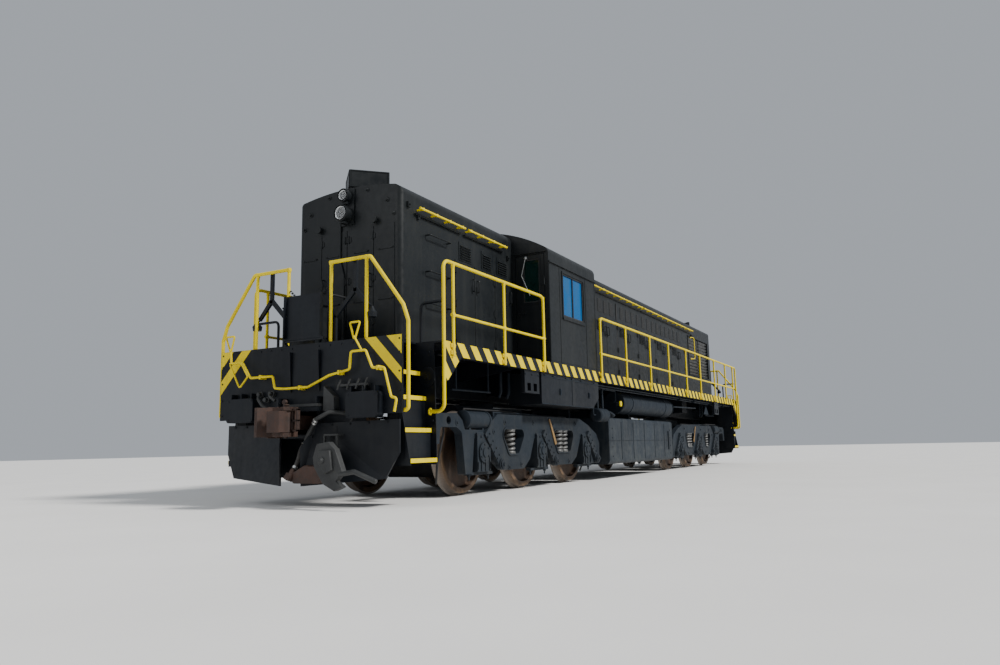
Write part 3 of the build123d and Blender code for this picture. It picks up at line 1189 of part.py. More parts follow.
def truck_springs():
    pieces = []
    for x_rel in SPRING_PLACES:
        low = RAIL_TOP + FRAME_WINDOWS[0][2] + 0.3
        high = RAIL_TOP + FRAME_WINDOWS[0][3] - 0.3
        pitch = (high - low) / SPRING_TURNS
        points = [(0.0, low)]
        for turn in range(SPRING_TURNS):
            z = low + turn * pitch
            points += [(SPRING_RADIUS - 8.0, z), (SPRING_RADIUS, z + 0.3 * pitch),
                       (SPRING_RADIUS - 8.0, z + 0.6 * pitch), (SPRING_CORE, z + 0.7 * pitch)]
            if turn < SPRING_TURNS - 1:
                points.append((SPRING_CORE, z + 0.9 * pitch))
        points += [(SPRING_CORE, high), (0.0, high)]
        face = make_face(Plane.XZ * Polyline(*points, close=True))
        column = revolve(face, axis=Axis.Z)
        pieces.append(Pos(TRUCK_CENTRE + x_rel, (FRAME_Y[0] + FRAME_Y[1]) / 2 - 5.0, 0) * column)
    return left_right(pieces)


# Brake cylinders and shoes
BRAKE_CYLINDER_RADIUS = 110.0
BRAKE_CYLINDER_X = (1520.0, 2040.0)
BRAKE_CYLINDER_LIFT = 12.0
BRAKE_SADDLES = (1600.0, 1920.0)
SADDLE_LENGTH = 45.0
SHOE_RADII = (WHEEL_RADIUS + 9.0, WHEEL_RADIUS + 55.0)
SHOE_Y = (WHEEL_BACK + 48.0, WHEEL_BACK + RIM_WIDTH - 5.0)
SHOE_HALF_ANGLE = 17.0
HANGER_LENGTH = 45.0
HANGER_HALF = 35.0
# Shoes of one side, each row: axle (1, 0, -1 from the end inwards), side of the wheel
SHOES = [(1, -1), (0, 1), (0, -1), (-1, 1)]


def brake_shoe(axle, side):
    """Curved shoe at a left wheel's tread, on a hanger that reaches out to the side frame."""
    inner, outer = SHOE_RADII
    axle_x = TRUCK_CENTRE + axle * AXLE_SPACING
    turn = radians(SHOE_HALF_ANGLE)
    ends = [(radius * cos(turn), radius * sin(turn)) for radius in (inner, outer)]
    outline = (ThreePointArc((ends[0][0], -ends[0][1]), (inner, 0), ends[0])
               + Line(ends[0], ends[1])
               + ThreePointArc(ends[1], (outer, 0), (ends[1][0], -ends[1][1]))
               + Line((ends[1][0], -ends[1][1]), (ends[0][0], -ends[0][1])))
    face = make_face(Plane.XZ * outline)
    shoe = Pos(0, SHOE_Y[0], 0) * extrude(face, amount=SHOE_Y[1] - SHOE_Y[0], dir=(0, 1, 0))
    hanger = slab((outer - 12.0, outer - 12.0 + HANGER_LENGTH), (SHOE_Y[0] + 15.0, FRAME_Y[0]),
                  (-HANGER_HALF, HANGER_HALF))
    piece = shoe + hanger
    if side < 0:
        piece = mirror(piece, about=Plane.YZ)
    return Pos(axle_x, 0, AXLE_HEIGHT) * piece


def truck_brakes():
    """Brake cylinders on the side frames, and the shoes at the wheels."""
    y = (FRAME_Y[0] + FRAME_Y[1]) / 2
    foot = RAIL_TOP + FRAME_DIP
    x_low, x_high = BRAKE_CYLINDER_X
    body = Cylinder(BRAKE_CYLINDER_RADIUS, x_high - x_low, align=(Align.CENTER, Align.CENTER, Align.MIN))
    centre = foot + BRAKE_CYLINDER_LIFT + BRAKE_CYLINDER_RADIUS
    body = Pos(TRUCK_CENTRE + x_low, y, centre) * Rot(0, 90, 0) * body
    saddle = slab((0.0, SADDLE_LENGTH), (FRAME_Y[0], FRAME_Y[1] - 8.0), (foot, centre))
    saddles = [Pos(TRUCK_CENTRE + x, 0, 0) * saddle for x in BRAKE_SADDLES]
    return left_right([body + saddles] + [brake_shoe(axle, side) for axle, side in SHOES])


# Traction motors, hung between the wheels
MOTOR_HALF = 480.0
MOTOR_Z = (RAIL_TOP + 190.0, RAIL_TOP + 790.0)


def truck_motors():
    """Motor cases, each hung from a transom towards its axle."""
    pieces = []
    for x_rel, side in ((AXLE_SPACING, -1), (0.0, 1), (-AXLE_SPACING, 1)):
        near = TRUCK_CENTRE + x_rel + side * (AXLE_RADIUS + 25.0)
        far = near + side * 560.0
        x = (min(near, far), max(near, far))
        case = slab(x, (-MOTOR_HALF, MOTOR_HALF), MOTOR_Z)
        case = fillet(case.edges().filter_by(Axis.Y), 90.0)
        nose_x = (far - 120.0, far + 20.0) if side < 0 else (far - 20.0, far + 120.0)
        nose = slab(nose_x, (-150.0, 150.0), (TRANSOM_Z[0] - 110.0, TRANSOM_Z[0]))
        pieces.append(case + nose)
    return pieces


# Wheel sets
def wheelset(x):
    """Two flanged wheels pressed on an axle, about a line across the locomotive."""
    flange_radius = WHEEL_RADIUS + FLANGE_DEPTH
    face = WHEEL_BACK + RIM_WIDTH
    inner_rim = WHEEL_RADIUS - RIM_DEPTH
    plate_low = WHEEL_BACK + 55.0
    plate_high = plate_low + WHEEL_PLATE
    profile = [
        (0.0, JOURNAL_END), (JOURNAL_RADIUS, JOURNAL_END), (JOURNAL_RADIUS, face + 60.0),
        (AXLE_RADIUS, face + 60.0), (AXLE_RADIUS, face + HUB_OVERHANG), (HUB_RADIUS, face + HUB_OVERHANG),
        (HUB_RADIUS + 10.0, plate_high),
        (inner_rim - 20.0, plate_high), (inner_rim, face), (WHEEL_RADIUS - 10.0, face),
        (WHEEL_RADIUS - 4.0, face - 6.0), (WHEEL_RADIUS, WHEEL_BACK + FLANGE_WIDTH + 8.0),
        (WHEEL_RADIUS + 10.0, WHEEL_BACK + FLANGE_WIDTH - 4.0),
        (flange_radius - 2.0, WHEEL_BACK + 20.0), (flange_radius, WHEEL_BACK + 15.0),
        (flange_radius - 4.0, WHEEL_BACK + 6.0), (WHEEL_RADIUS, WHEEL_BACK), (inner_rim, WHEEL_BACK),
        (inner_rim - 20.0, plate_low), (HUB_RADIUS + 10.0, plate_low),
        (HUB_RADIUS, WHEEL_BACK - 20.0), (AXLE_RADIUS, WHEEL_BACK - 20.0), (AXLE_RADIUS, 0.0), (0.0, 0.0),
    ]
    section = make_face(Polyline(*profile, close=True))
    half = revolve(section, axis=Axis.Y)
    whole = half + mirror(half, about=Plane.XZ)
    return Pos(x, 0, AXLE_HEIGHT) * whole


# Brake hoses at the ends, with their couplings
HOSE_RADIUS = 22.0
COCK_RADIUS = 38.0
# Route of the front hose, each row: X, Y, Z
HOSE_POINTS = [
    (8215.0, 92.0, 690.0), (8265.0, 92.0, 690.0), (8308.0, 90.0, 655.0), (8330.0, 84.0, 608.0),
    (8340.0, 76.0, 554.0), (8349.0, 66.0, 500.0), (8364.0, 54.0, 448.0), (8390.0, 42.0, 402.0),
]


def corner_radii(points):
    """Bend radius at each inner point of a route."""
    radii = []
    for before, here, after in zip(points, points[1:], points[2:]):
        run_in = Vector(*here) - Vector(*before)
        run_out = Vector(*after) - Vector(*here)
        half_turn = radians(run_in.get_angle(run_out)) / 2
        radii.append(0.45 * min(run_in.length, run_out.length) * cos(half_turn) / sin(half_turn))
    return radii


def brake_hose():
    path = FilletPolyline(*HOSE_POINTS, radius=corner_radii(HOSE_POINTS))
    section = Plane(origin=path @ 0, z_dir=path % 0) * Circle(HOSE_RADIUS)
    return sweep(section, path=path)


def hose_coupling():
    """Coupling head on the free end of a brake hose."""
    end = Vector(*HOSE_POINTS[-1])
    run = end - Vector(*HOSE_POINTS[-2])
    place = Plane(origin=end, z_dir=run)
    shank = Cylinder(28.0, 60.0, align=(Align.CENTER, Align.CENTER, Align.MIN))
    head = Pos(0, 0, 60.0 + 30.0) * Box(50.0, 90.0, 70.0)
    return place * (shank + head)


def hose_cock():
    """Angle cock in the end sheet's lower edge, from which the hose hangs."""
    start = Vector(*HOSE_POINTS[0])
    body = rod((start.X - 75.0, start.Y, start.Z), (start.X, start.Y, start.Z), COCK_RADIUS)
    hanger = slab((start.X - 60.0, start.X - 20.0), (start.Y - 20.0, start.Y + 20.0),
                  (start.Z, COUPLER_HEIGHT - 150.0))
    return body + hanger


def at_truck(index, pieces):
    """Front truck's pieces for index 0, and their mirror images for the rear truck."""
    return pieces if index == 0 else [mirror(piece, about=Plane.YZ) for piece in pieces]


def main():
    write("underframe", [underframe()])
    write("cross_bearers", cross_bearers())
    write("centre_sill", [centre_sill()])
    write("end_sheets", [end_sheet()] + turned([end_sheet()]))
    write("steps", steps())
    write("pilots", pilots())
    write("buffer_pads", buffer_pads())
    for end, place in (("front", lambda pieces: pieces), ("rear", turned)):
        write(f"coupler_{end}", place([coupler()]))
        write(f"knuckle_{end}", place([knuckle()]))
        write(f"drop_step_{end}", place([drop_step()]))
        write(f"brake_hose_{end}", place([brake_hose()]))
        write(f"hose_coupling_{end}", place([hose_coupling()]))
    write("short_hood", [short_hood()])
    write("long_hood", [long_hood() + fan_drive()])
    write("engine_block", [engine_block()])
    write("cab_sides", cab_sides())
    write("cab_ends", cab_ends())
    write("cab_roof", [cab_roof()])
    write("cab_door_front", [door_leaf()])
    write("cab_door_rear", [to_rear_door(door_leaf())])
    write("door_pane_front", [door_pane()])
    write("door_pane_rear", [to_rear_door(door_pane())])
    write("cab_glass", cab_glass())
    write("cab_fittings", cab_fittings())
    write("headlights", headlights())
    write("lamp_lenses", lamp_lenses())
    write("number_boards", number_boards())
    write("side_rails", side_rails())
    write("end_rails", end_rails())
    write("roof_rails", roof_rails())
    write("platform_boxes", platform_boxes())
    write("cut_levers", cut_levers())
    write("exhaust_stack", [exhaust_stack()])
    write("radiator_fan", [radiator_fan()])
    write("fan_grille", [fan_grille()])
    write("horn", [horn()])
    write("fuel_tank", [fuel_tank()])
    write("air_reservoirs", air_reservoirs())
    write("battery_boxes", battery_boxes())
    for index, end in enumerate(("front", "rear")):
        write(f"truck_frame_{end}", at_truck(index, [truck_frame()]))
        write(f"truck_springs_{end}", at_truck(index, truck_springs()))
        write(f"truck_brakes_{end}", at_truck(index, truck_brakes()))
        write(f"truck_motors_{end}", at_truck(index, truck_motors()))
    for number in range(6):
        truck_x = TRUCK_CENTRE if number < 3 else -TRUCK_CENTRE
        write(f"wheelset_{number + 1}", [wheelset(truck_x + (1 - number % 3) * AXLE_SPACING)])


main()
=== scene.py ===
import json
from math import cos, pi, radians, sin, sqrt

import bmesh
import bpy
from mathutils import Matrix, Vector


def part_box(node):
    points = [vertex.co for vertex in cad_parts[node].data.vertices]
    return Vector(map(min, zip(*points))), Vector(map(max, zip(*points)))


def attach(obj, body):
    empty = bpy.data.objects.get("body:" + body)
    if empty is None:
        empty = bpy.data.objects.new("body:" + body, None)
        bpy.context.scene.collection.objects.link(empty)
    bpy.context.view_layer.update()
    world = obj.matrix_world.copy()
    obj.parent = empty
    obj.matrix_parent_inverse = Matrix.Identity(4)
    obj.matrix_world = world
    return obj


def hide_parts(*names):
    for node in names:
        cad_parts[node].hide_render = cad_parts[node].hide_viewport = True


# Dressing of the six-axle road switcher. Metres, +X towards the short hood, +Y to the left side, +Z up.
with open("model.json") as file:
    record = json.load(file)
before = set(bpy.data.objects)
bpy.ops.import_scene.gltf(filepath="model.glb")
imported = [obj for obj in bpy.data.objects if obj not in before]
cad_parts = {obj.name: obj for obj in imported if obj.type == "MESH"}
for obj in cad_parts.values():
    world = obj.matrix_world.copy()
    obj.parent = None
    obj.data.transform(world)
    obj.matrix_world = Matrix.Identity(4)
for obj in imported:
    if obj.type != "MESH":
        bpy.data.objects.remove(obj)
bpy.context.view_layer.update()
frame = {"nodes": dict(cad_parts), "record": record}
scene = bpy.context.scene
finishes = {}

BOTH = (-1.0, 1.0)
ENDS = (("front", 1.0), ("rear", -1.0))
AHEAD = (1, 0, 0)
LEFT = (0, 1, 0)
UP = (0, 0, 1)
DOWN = (0, 0, -1)

# Camera, solved from the photograph: place, heading, tilt and roll in degrees, lens on a 36 mm sensor
CAMERA_PLACE = Vector((14.53, 5.96, 0.607))
CAMERA_HEADING = -151.277
CAMERA_TILT = 8.543
CAMERA_ROLL = -1.111
CAMERA_LENS = 27.28

# Heights and places that the details line up with
RAIL_TOP = 0.028
DECK_TOP = RAIL_TOP + 1.755
HOOD_HALF = 0.800
HOOD_END = 7.500
CAB_FRONT = 4.700
CAB_REAR = 2.900
CAB_HALF = 1.400
SILL_FACE = 1.425
SILL_END = 7.550
END_SHEET = 8.200
TRUCK_CENTRE = 4.520
AXLE_SPACING = 1.680
AXLE_HEIGHT = RAIL_TOP + 0.508


def make_camera():
    yaw = radians(CAMERA_HEADING)
    tilt = radians(CAMERA_TILT)
    roll = radians(CAMERA_ROLL)
    forward = Vector((cos(tilt) * cos(yaw), cos(tilt) * sin(yaw), sin(tilt)))
    level = Vector((sin(yaw), -cos(yaw), 0.0))
    upright = level.cross(forward)
    right = cos(roll) * level + sin(roll) * upright
    up = -sin(roll) * level + cos(roll) * upright
    camera = bpy.data.objects.new("camera", bpy.data.cameras.new("camera"))
    camera.data.sensor_width = 36.0
    camera.data.lens = CAMERA_LENS
    camera.data.clip_start = 0.05
    camera.data.clip_end = 500.0
    turn = Matrix((right, up, -forward)).transposed().to_4x4()
    camera.matrix_world = Matrix.Translation(CAMERA_PLACE) @ turn
    scene.collection.objects.link(camera)
    scene.camera = camera


# Materials


class Nodes:
    """A finish and its node tree, with short calls for the nodes that the finishes share."""

    def __init__(self, name):
        self.material = bpy.data.materials.new(name)
        finishes[name] = self.material
        self.material.use_nodes = True
        self.tree = self.material.node_tree
        self.shader = self.tree.nodes["Principled BSDF"]
        self.place = self.new("ShaderNodeTexCoord").outputs["Object"]

    def new(self, kind, **settings):
        node = self.tree.nodes.new(kind)
        for key, value in settings.items():
            setattr(node, key, value)
        return node

    def link(self, source, target):
        self.tree.links.new(source, target)

    def set(self, **values):
        """Constants on the shader's own sockets."""
        for name, value in values.items():
            self.shader.inputs[name.replace("_", " ")].default_value = value

    def noise(self, scale, detail=4.0, stretch=(1.0, 1.0, 1.0), rough=0.55):
        mapping = self.new("ShaderNodeMapping")
        mapping.inputs["Scale"].default_value = stretch
        self.link(self.place, mapping.inputs["Vector"])
        node = self.new("ShaderNodeTexNoise")
        node.inputs["Scale"].default_value = scale
        node.inputs["Detail"].default_value = detail
        node.inputs["Roughness"].default_value = rough
        self.link(mapping.outputs["Vector"], node.inputs["Vector"])
        return node.outputs["Fac"]

    def span(self, value, low, high, out_low=0.0, out_high=1.0):
        """A value between low and high, carried over to another range and held inside it."""
        node = self.new("ShaderNodeMapRange", clamp=True)
        self.link(value, node.inputs["Value"])
        node.inputs["From Min"].default_value = low
        node.inputs["From Max"].default_value = high
        node.inputs["To Min"].default_value = out_low
        node.inputs["To Max"].default_value = out_high
        return node.outputs["Result"]

    def math(self, kind, first, second):
        node = self.new("ShaderNodeMath", operation=kind)
        for socket, value in zip(node.inputs, (first, second)):
            if isinstance(value, (int, float)):
                socket.default_value = value
            else:
                self.link(value, socket)
        return node.outputs["Value"]

    def add(self, first, second):
        return self.math("ADD", first, second)

    def times(self, first, second):
        return self.math("MULTIPLY", first, second)

    def mix(self, factor, first, second):
        node = self.new("ShaderNodeMix", data_type="RGBA")
        self.link(factor, node.inputs["Factor"])
        for socket, value in ((node.inputs["A"], first), (node.inputs["B"], second)):
            if isinstance(value, tuple):
                socket.default_value = (*value, 1.0)
            else:
                self.link(value, socket)
        return node.outputs["Result"]

    def colour(self, value):
        self.link(value, self.shader.inputs["Base Color"])

    def roughness(self, value):
        self.link(value, self.shader.inputs["Roughness"])

    def bump(self, height, strength, distance):
        node = self.new("ShaderNodeBump")
        node.inputs["Strength"].default_value = strength
        node.inputs["Distance"].default_value = distance
        self.link(height, node.inputs["Height"])
        self.link(node.outputs["Normal"], self.shader.inputs["Normal"])

    def axes(self):
        split = self.new("ShaderNodeSeparateXYZ")
        self.link(self.place, split.inputs["Vector"])
        return split.outputs


def weathered(name, fresh, faded, dust, rust, dust_top, dust_share, rust_share, roughness):
    """Old paint or metal: faded in clouds, streaked by rain, dusty from below, with patches of rust."""
    tree = Nodes(name)
    clouds = tree.span(tree.noise(1.3, 6.0), 0.35, 0.68)
    colour = tree.mix(clouds, fresh, faded)
    runs = tree.noise(9.0, 5.0, stretch=(1.0, 1.0, 0.06))
    streaks = tree.span(runs, 0.52, 0.75, 0.0, 0.5 * dust_share + 0.12)
    colour = tree.mix(streaks, colour, dust)
    low = tree.span(tree.axes()["Z"], 0.15, dust_top, 1.0, 0.0)
    settled = tree.span(tree.noise(5.0, 8.0, rough=0.65), 0.30, 0.72)
    colour = tree.mix(tree.times(tree.times(low, settled), dust_share), colour, dust)
    spots = tree.span(tree.noise(26.0, 7.0, rough=0.7), 0.66 - 0.16 * rust_share, 0.72 - 0.12 * rust_share)
    areas = tree.span(tree.noise(1.9, 4.0), 0.60 - 0.35 * rust_share, 0.80 - 0.30 * rust_share)
    rusty = tree.times(spots, areas)
    tree.colour(tree.mix(rusty, colour, rust))
    worn = tree.span(tree.noise(14.0, 5.0), 0.3, 0.7, roughness - 0.10, roughness + 0.12)
    tree.roughness(tree.math("MAXIMUM", worn, tree.span(rusty, 0.0, 1.0, 0.0, 0.9)))
    tree.set(Specular_IOR_Level=0.22)
    grain = tree.add(tree.noise(3.0, 3.0), tree.times(tree.noise(120.0, 3.0), 0.05))
    tree.bump(tree.add(grain, tree.times(rusty, 0.10)), 0.22, 0.004)


def yellow_paint(name):
    """Safety yellow, scuffed and chipped to the dark paint under it."""
    tree = Nodes(name)
    clouds = tree.span(tree.noise(3.0, 5.0), 0.35, 0.70)
    colour = tree.mix(clouds, (0.770, 0.600, 0.000), (0.670, 0.500, 0.000))
    grime = tree.span(tree.noise(11.0, 6.0, stretch=(1.0, 1.0, 0.3)), 0.55, 0.80, 0.0, 0.45)
    colour = tree.mix(grime, colour, (0.24, 0.15, 0.02))
    chips = tree.span(tree.noise(60.0, 6.0, rough=0.65), 0.665, 0.69)
    tree.colour(tree.mix(chips, colour, (0.030, 0.024, 0.020)))
    tree.set(Specular_IOR_Level=0.20)
    tree.roughness(tree.span(tree.noise(20.0), 0.3, 0.7, 0.40, 0.60))
    tree.bump(tree.noise(40.0, 4.0), 0.10, 0.002)


def cast_metal(name, dark, light, metal, roughness, grain):
    """Rough cast or rolled metal, all over one brown or grey, mottled from fine to coarse."""
    tree = Nodes(name)
    coarse = tree.span(tree.noise(4.0, 7.0, rough=0.65), 0.33, 0.67)
    fine = tree.span(tree.noise(45.0, 5.0), 0.35, 0.70)
    tree.colour(tree.mix(tree.add(tree.times(coarse, 0.65), tree.times(fine, 0.35)), dark, light))
    tree.set(Metallic=metal)
    tree.roughness(tree.span(fine, 0.0, 1.0, roughness - 0.08, roughness + 0.12))
    tree.bump(tree.add(coarse, tree.times(tree.noise(150.0, 3.0), 0.25)), 0.45, grain)


def wheel_metal(name, axle_x):
    """Dark, rusty wheels whose rims are rubbed to tan and whose treads shine."""
    tree = Nodes(name)
    coarse = tree.span(tree.noise(5.0, 7.0, rough=0.65), 0.33, 0.67)
    fine = tree.span(tree.noise(50.0, 5.0), 0.35, 0.70)
    blend = tree.add(tree.times(coarse, 0.6), tree.times(fine, 0.4))
    colour = tree.mix(blend, (0.016, 0.012, 0.010), (0.085, 0.046, 0.026))
    place = tree.axes()
    along = tree.math("SUBTRACT", place["X"], axle_x)
    upwards = tree.math("SUBTRACT", place["Z"], AXLE_HEIGHT)
    reach = tree.add(tree.times(along, along), tree.times(upwards, upwards))
    rim = tree.span(reach, 0.44 ** 2, 0.47 ** 2)
    rubbed = tree.mix(coarse, (0.035, 0.021, 0.013), (0.190, 0.115, 0.060))
    colour = tree.mix(rim, colour, rubbed)
    tread = tree.span(reach, 0.503 ** 2, 0.507 ** 2)
    tree.colour(tree.mix(tree.times(tread, 0.6), colour, (0.32, 0.29, 0.26)))
    tree.set(Metallic=0.2)
    tree.roughness(tree.span(fine, 0.0, 1.0, 0.52, 0.80))
    tree.bump(blend, 0.4, 0.003)


def window_glass(name, clean, dusty):
    """Tinted, slightly dusty window glass."""
    tree = Nodes(name)
    film = tree.span(tree.noise(6.0, 5.0, stretch=(1.0, 1.0, 0.3)), 0.45, 0.85)
    tree.colour(tree.mix(film, clean, dusty))
    tree.roughness(tree.span(film, 0.0, 1.0, 0.03, 0.22))
    tree.set(Transmission_Weight=0.30, IOR=1.25)


def lamp_glass(name):
    """Clear lens with the faint ribs of a sealed beam."""
    tree = Nodes(name)
    dirt = tree.span(tree.noise(30.0, 4.0), 0.45, 0.8)
    tree.colour(tree.mix(dirt, (0.92, 0.94, 0.95), (0.80, 0.79, 0.75)))
    tree.roughness(tree.span(dirt, 0.0, 1.0, 0.04, 0.25))
    tree.set(Transmission_Weight=0.94, IOR=1.5)
    wave = tree.new("ShaderNodeTexWave", wave_type="BANDS", bands_direction="Y")
    wave.inputs["Scale"].default_value = 45.0
    tree.link(tree.place, wave.inputs["Vector"])
    tree.bump(wave.outputs["Fac"], 0.25, 0.002)


def rubber(name, dark, light):
    tree = Nodes(name)
    blend = tree.span(tree.noise(18.0, 6.0), 0.35, 0.72)
    tree.colour(tree.mix(blend, dark, light))
    tree.roughness(tree.span(tree.noise(40.0), 0.3, 0.7, 0.6, 0.85))
    tree.bump(tree.noise(220.0, 3.0), 0.3, 0.001)


def chrome(name):
    tree = Nodes(name)
    haze = tree.span(tree.noise(25.0, 4.0), 0.4, 0.8)
    tree.colour(tree.mix(haze, (0.86, 0.87, 0.88), (0.55, 0.53, 0.50)))
    tree.set(Metallic=1.0)
    tree.roughness(tree.span(haze, 0.0, 1.0, 0.12, 0.35))


RUST = (0.060, 0.024, 0.012)
PALE_RUST = (0.070, 0.035, 0.020)


def make_finishes():
    weathered("body_paint", (0.0062, 0.0080, 0.0096), (0.0122, 0.0142, 0.0150), (0.033, 0.034, 0.031),
              RUST, dust_top=2.2, dust_share=0.30, rust_share=0.08, roughness=0.40)
    weathered("frame_paint", (0.0030, 0.0045, 0.0075), (0.0068, 0.0092, 0.0130), (0.024, 0.024, 0.023),
              RUST, dust_top=1.4, dust_share=0.35, rust_share=0.15, roughness=0.46)
    weathered("gear_paint", (0.0050, 0.0095, 0.0160), (0.0112, 0.0180, 0.0265), (0.041, 0.041, 0.038),
              PALE_RUST, dust_top=1.2, dust_share=0.50, rust_share=0.25, roughness=0.68)
    weathered("tank_paint", (0.0045, 0.0095, 0.0170), (0.0120, 0.0200, 0.0310), (0.055, 0.060, 0.060),
              PALE_RUST, dust_top=1.4, dust_share=0.85, rust_share=0.20, roughness=0.66)
    weathered("machinery", (0.012, 0.013, 0.015), (0.028, 0.029, 0.031), (0.055, 0.050, 0.043),
              RUST, dust_top=1.4, dust_share=0.40, rust_share=0.25, roughness=0.58)
    yellow_paint("safety_yellow")
    cast_metal("cast_rust", (0.012, 0.008, 0.007), (0.068, 0.031, 0.019), 0.2, 0.62, 0.004)
    cast_metal("cast_dark", (0.011, 0.012, 0.013), (0.045, 0.047, 0.047), 0.2, 0.60, 0.004)
    cast_metal("spring_steel", (0.055, 0.058, 0.062), (0.150, 0.148, 0.140), 0.3, 0.50, 0.002)
    cast_metal("tan_rust", (0.085, 0.045, 0.018), (0.300, 0.185, 0.065), 0.1, 0.70, 0.003)
    cast_metal("clamp_steel", (0.42, 0.43, 0.44), (0.62, 0.62, 0.60), 0.85, 0.38, 0.001)
    rubber("cab_inside", (0.030, 0.042, 0.036), (0.055, 0.068, 0.058))
    rubber("hose_rubber", (0.020, 0.020, 0.021), (0.060, 0.054, 0.048))
    rubber("seal_rubber", (0.012, 0.012, 0.013), (0.028, 0.027, 0.026))
    window_glass("glass", (0.006, 0.110, 0.320), (0.030, 0.120, 0.230))
    window_glass("door_glass", (0.004, 0.020, 0.017), (0.012, 0.034, 0.030))
    lamp_glass("lens")
    chrome("lamp_reflector")


def paint_nodes():
    """Each CAD node gets the finish of its slot, but wheels, tank and door panes have their own."""
    slot_of = {row["node"]: row["material_slot"] for row in frame["record"]["subparts"]}
    for name, node in frame["nodes"].items():
        if name.startswith("wheelset_"):
            low_corner, high_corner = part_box(name)
            wheel_metal(f"wheel_steel_{name}", (low_corner[0] + high_corner[0]) / 2)
            finish = finishes[f"wheel_steel_{name}"]
        elif name.startswith("door_pane_"):
            finish = finishes["door_glass"]
        elif name == "fuel_tank":
            finish = finishes["tank_paint"]
        else:
            finish = finishes[slot_of[name]]
        if not node.material_slots:
            node.data.materials.append(finish)
        for slot in node.material_slots:
            slot.material = finish


# Floor, background and lights
FLOOR_HALF = 90.0
SKY = (0.80, 0.86, 0.94, 1.0)
SUN_TOWARDS = Vector((0.10, -0.78, -0.66))
FILL_PLACE = Vector((17.0, -3.0, 7.0))
FILL_TARGET = Vector((7.5, 0.0, 1.8))


def make_stage():
    mesh = bpy.data.meshes.new("floor")
    reach = (-FLOOR_HALF, FLOOR_HALF)
    mesh.from_pydata([(x, y, 0) for x, y in rectangle(reach, reach)], [], [(0, 1, 2, 3)])
    floor = bpy.data.objects.new("floor", mesh)
    tree = Nodes("floor")
    tree.colour(tree.mix(tree.span(tree.noise(0.8, 3.0), 0.3, 0.7), (0.74, 0.73, 0.71), (0.78, 0.77, 0.75)))
    tree.set(Roughness=0.9)
    mesh.materials.append(tree.material)
    scene.collection.objects.link(floor)
    world = bpy.data.worlds.new("studio")
    world.use_nodes = True
    background = world.node_tree.nodes["Background"]
    background.inputs["Color"].default_value = SKY
    background.inputs["Strength"].default_value = 0.50
    scene.world = world


def make_light(name, kind, energy, towards):
    light = bpy.data.objects.new(name, bpy.data.lights.new(name, kind))
    light.data.energy = energy
    light.rotation_mode = "QUATERNION"
    light.rotation_quaternion = towards.to_track_quat("-Z", "Y")
    scene.collection.objects.link(light)
    return light


def make_lights():
    sun = make_light("key", "SUN", 4.6, SUN_TOWARDS)
    sun.data.angle = radians(9.0)
    sun.data.color = (1.0, 0.985, 0.96)
    panel = make_light("fill", "AREA", 300.0, FILL_TARGET - FILL_PLACE)
    panel.data.size = 9.0
    panel.location = FILL_PLACE


# Pieces built from meshes
SHARP = radians(35.0)


def about(middle, half):
    return middle - half, middle + half


def spread(low, high, count):
    """Evenly spaced values, the two ends included."""
    return [low + index * (high - low) / (count - 1) for index in range(count)]


def rectangle(across, upright):
    """Corners of a rectangle, anticlockwise from the lowest."""
    (left, right), (low, high) = across, upright
    return [(left, low), (right, low), (right, high), (left, high)]


def circle(centre, across, other, radius, sides):
    turns = [2 * pi * index / sides for index in range(sides)]
    return [centre + radius * (cos(turn) * across + sin(turn) * other) for turn in turns]


def bent_line(points, bend, steps=5):
    """Points along straight runs whose corners are rounded by arcs."""
    line = [points[0]]
    for before, here, after in zip(points, points[1:], points[2:]):
        back = (before - here).normalized()
        on = (after - here).normalized()
        half = back.angle(on) / 2
        room = 0.45 * min((before - here).length, (after - here).length)
        reach = min(bend / max(sin(half), 0.05) * cos(half), room)
        start = here + back * reach
        end = here + on * reach
        for step in range(steps + 1):
            share = step / steps
            line.append((1 - share) ** 2 * start + 2 * share * (1 - share) * here + share ** 2 * end)
    line.append(points[-1])
    return line


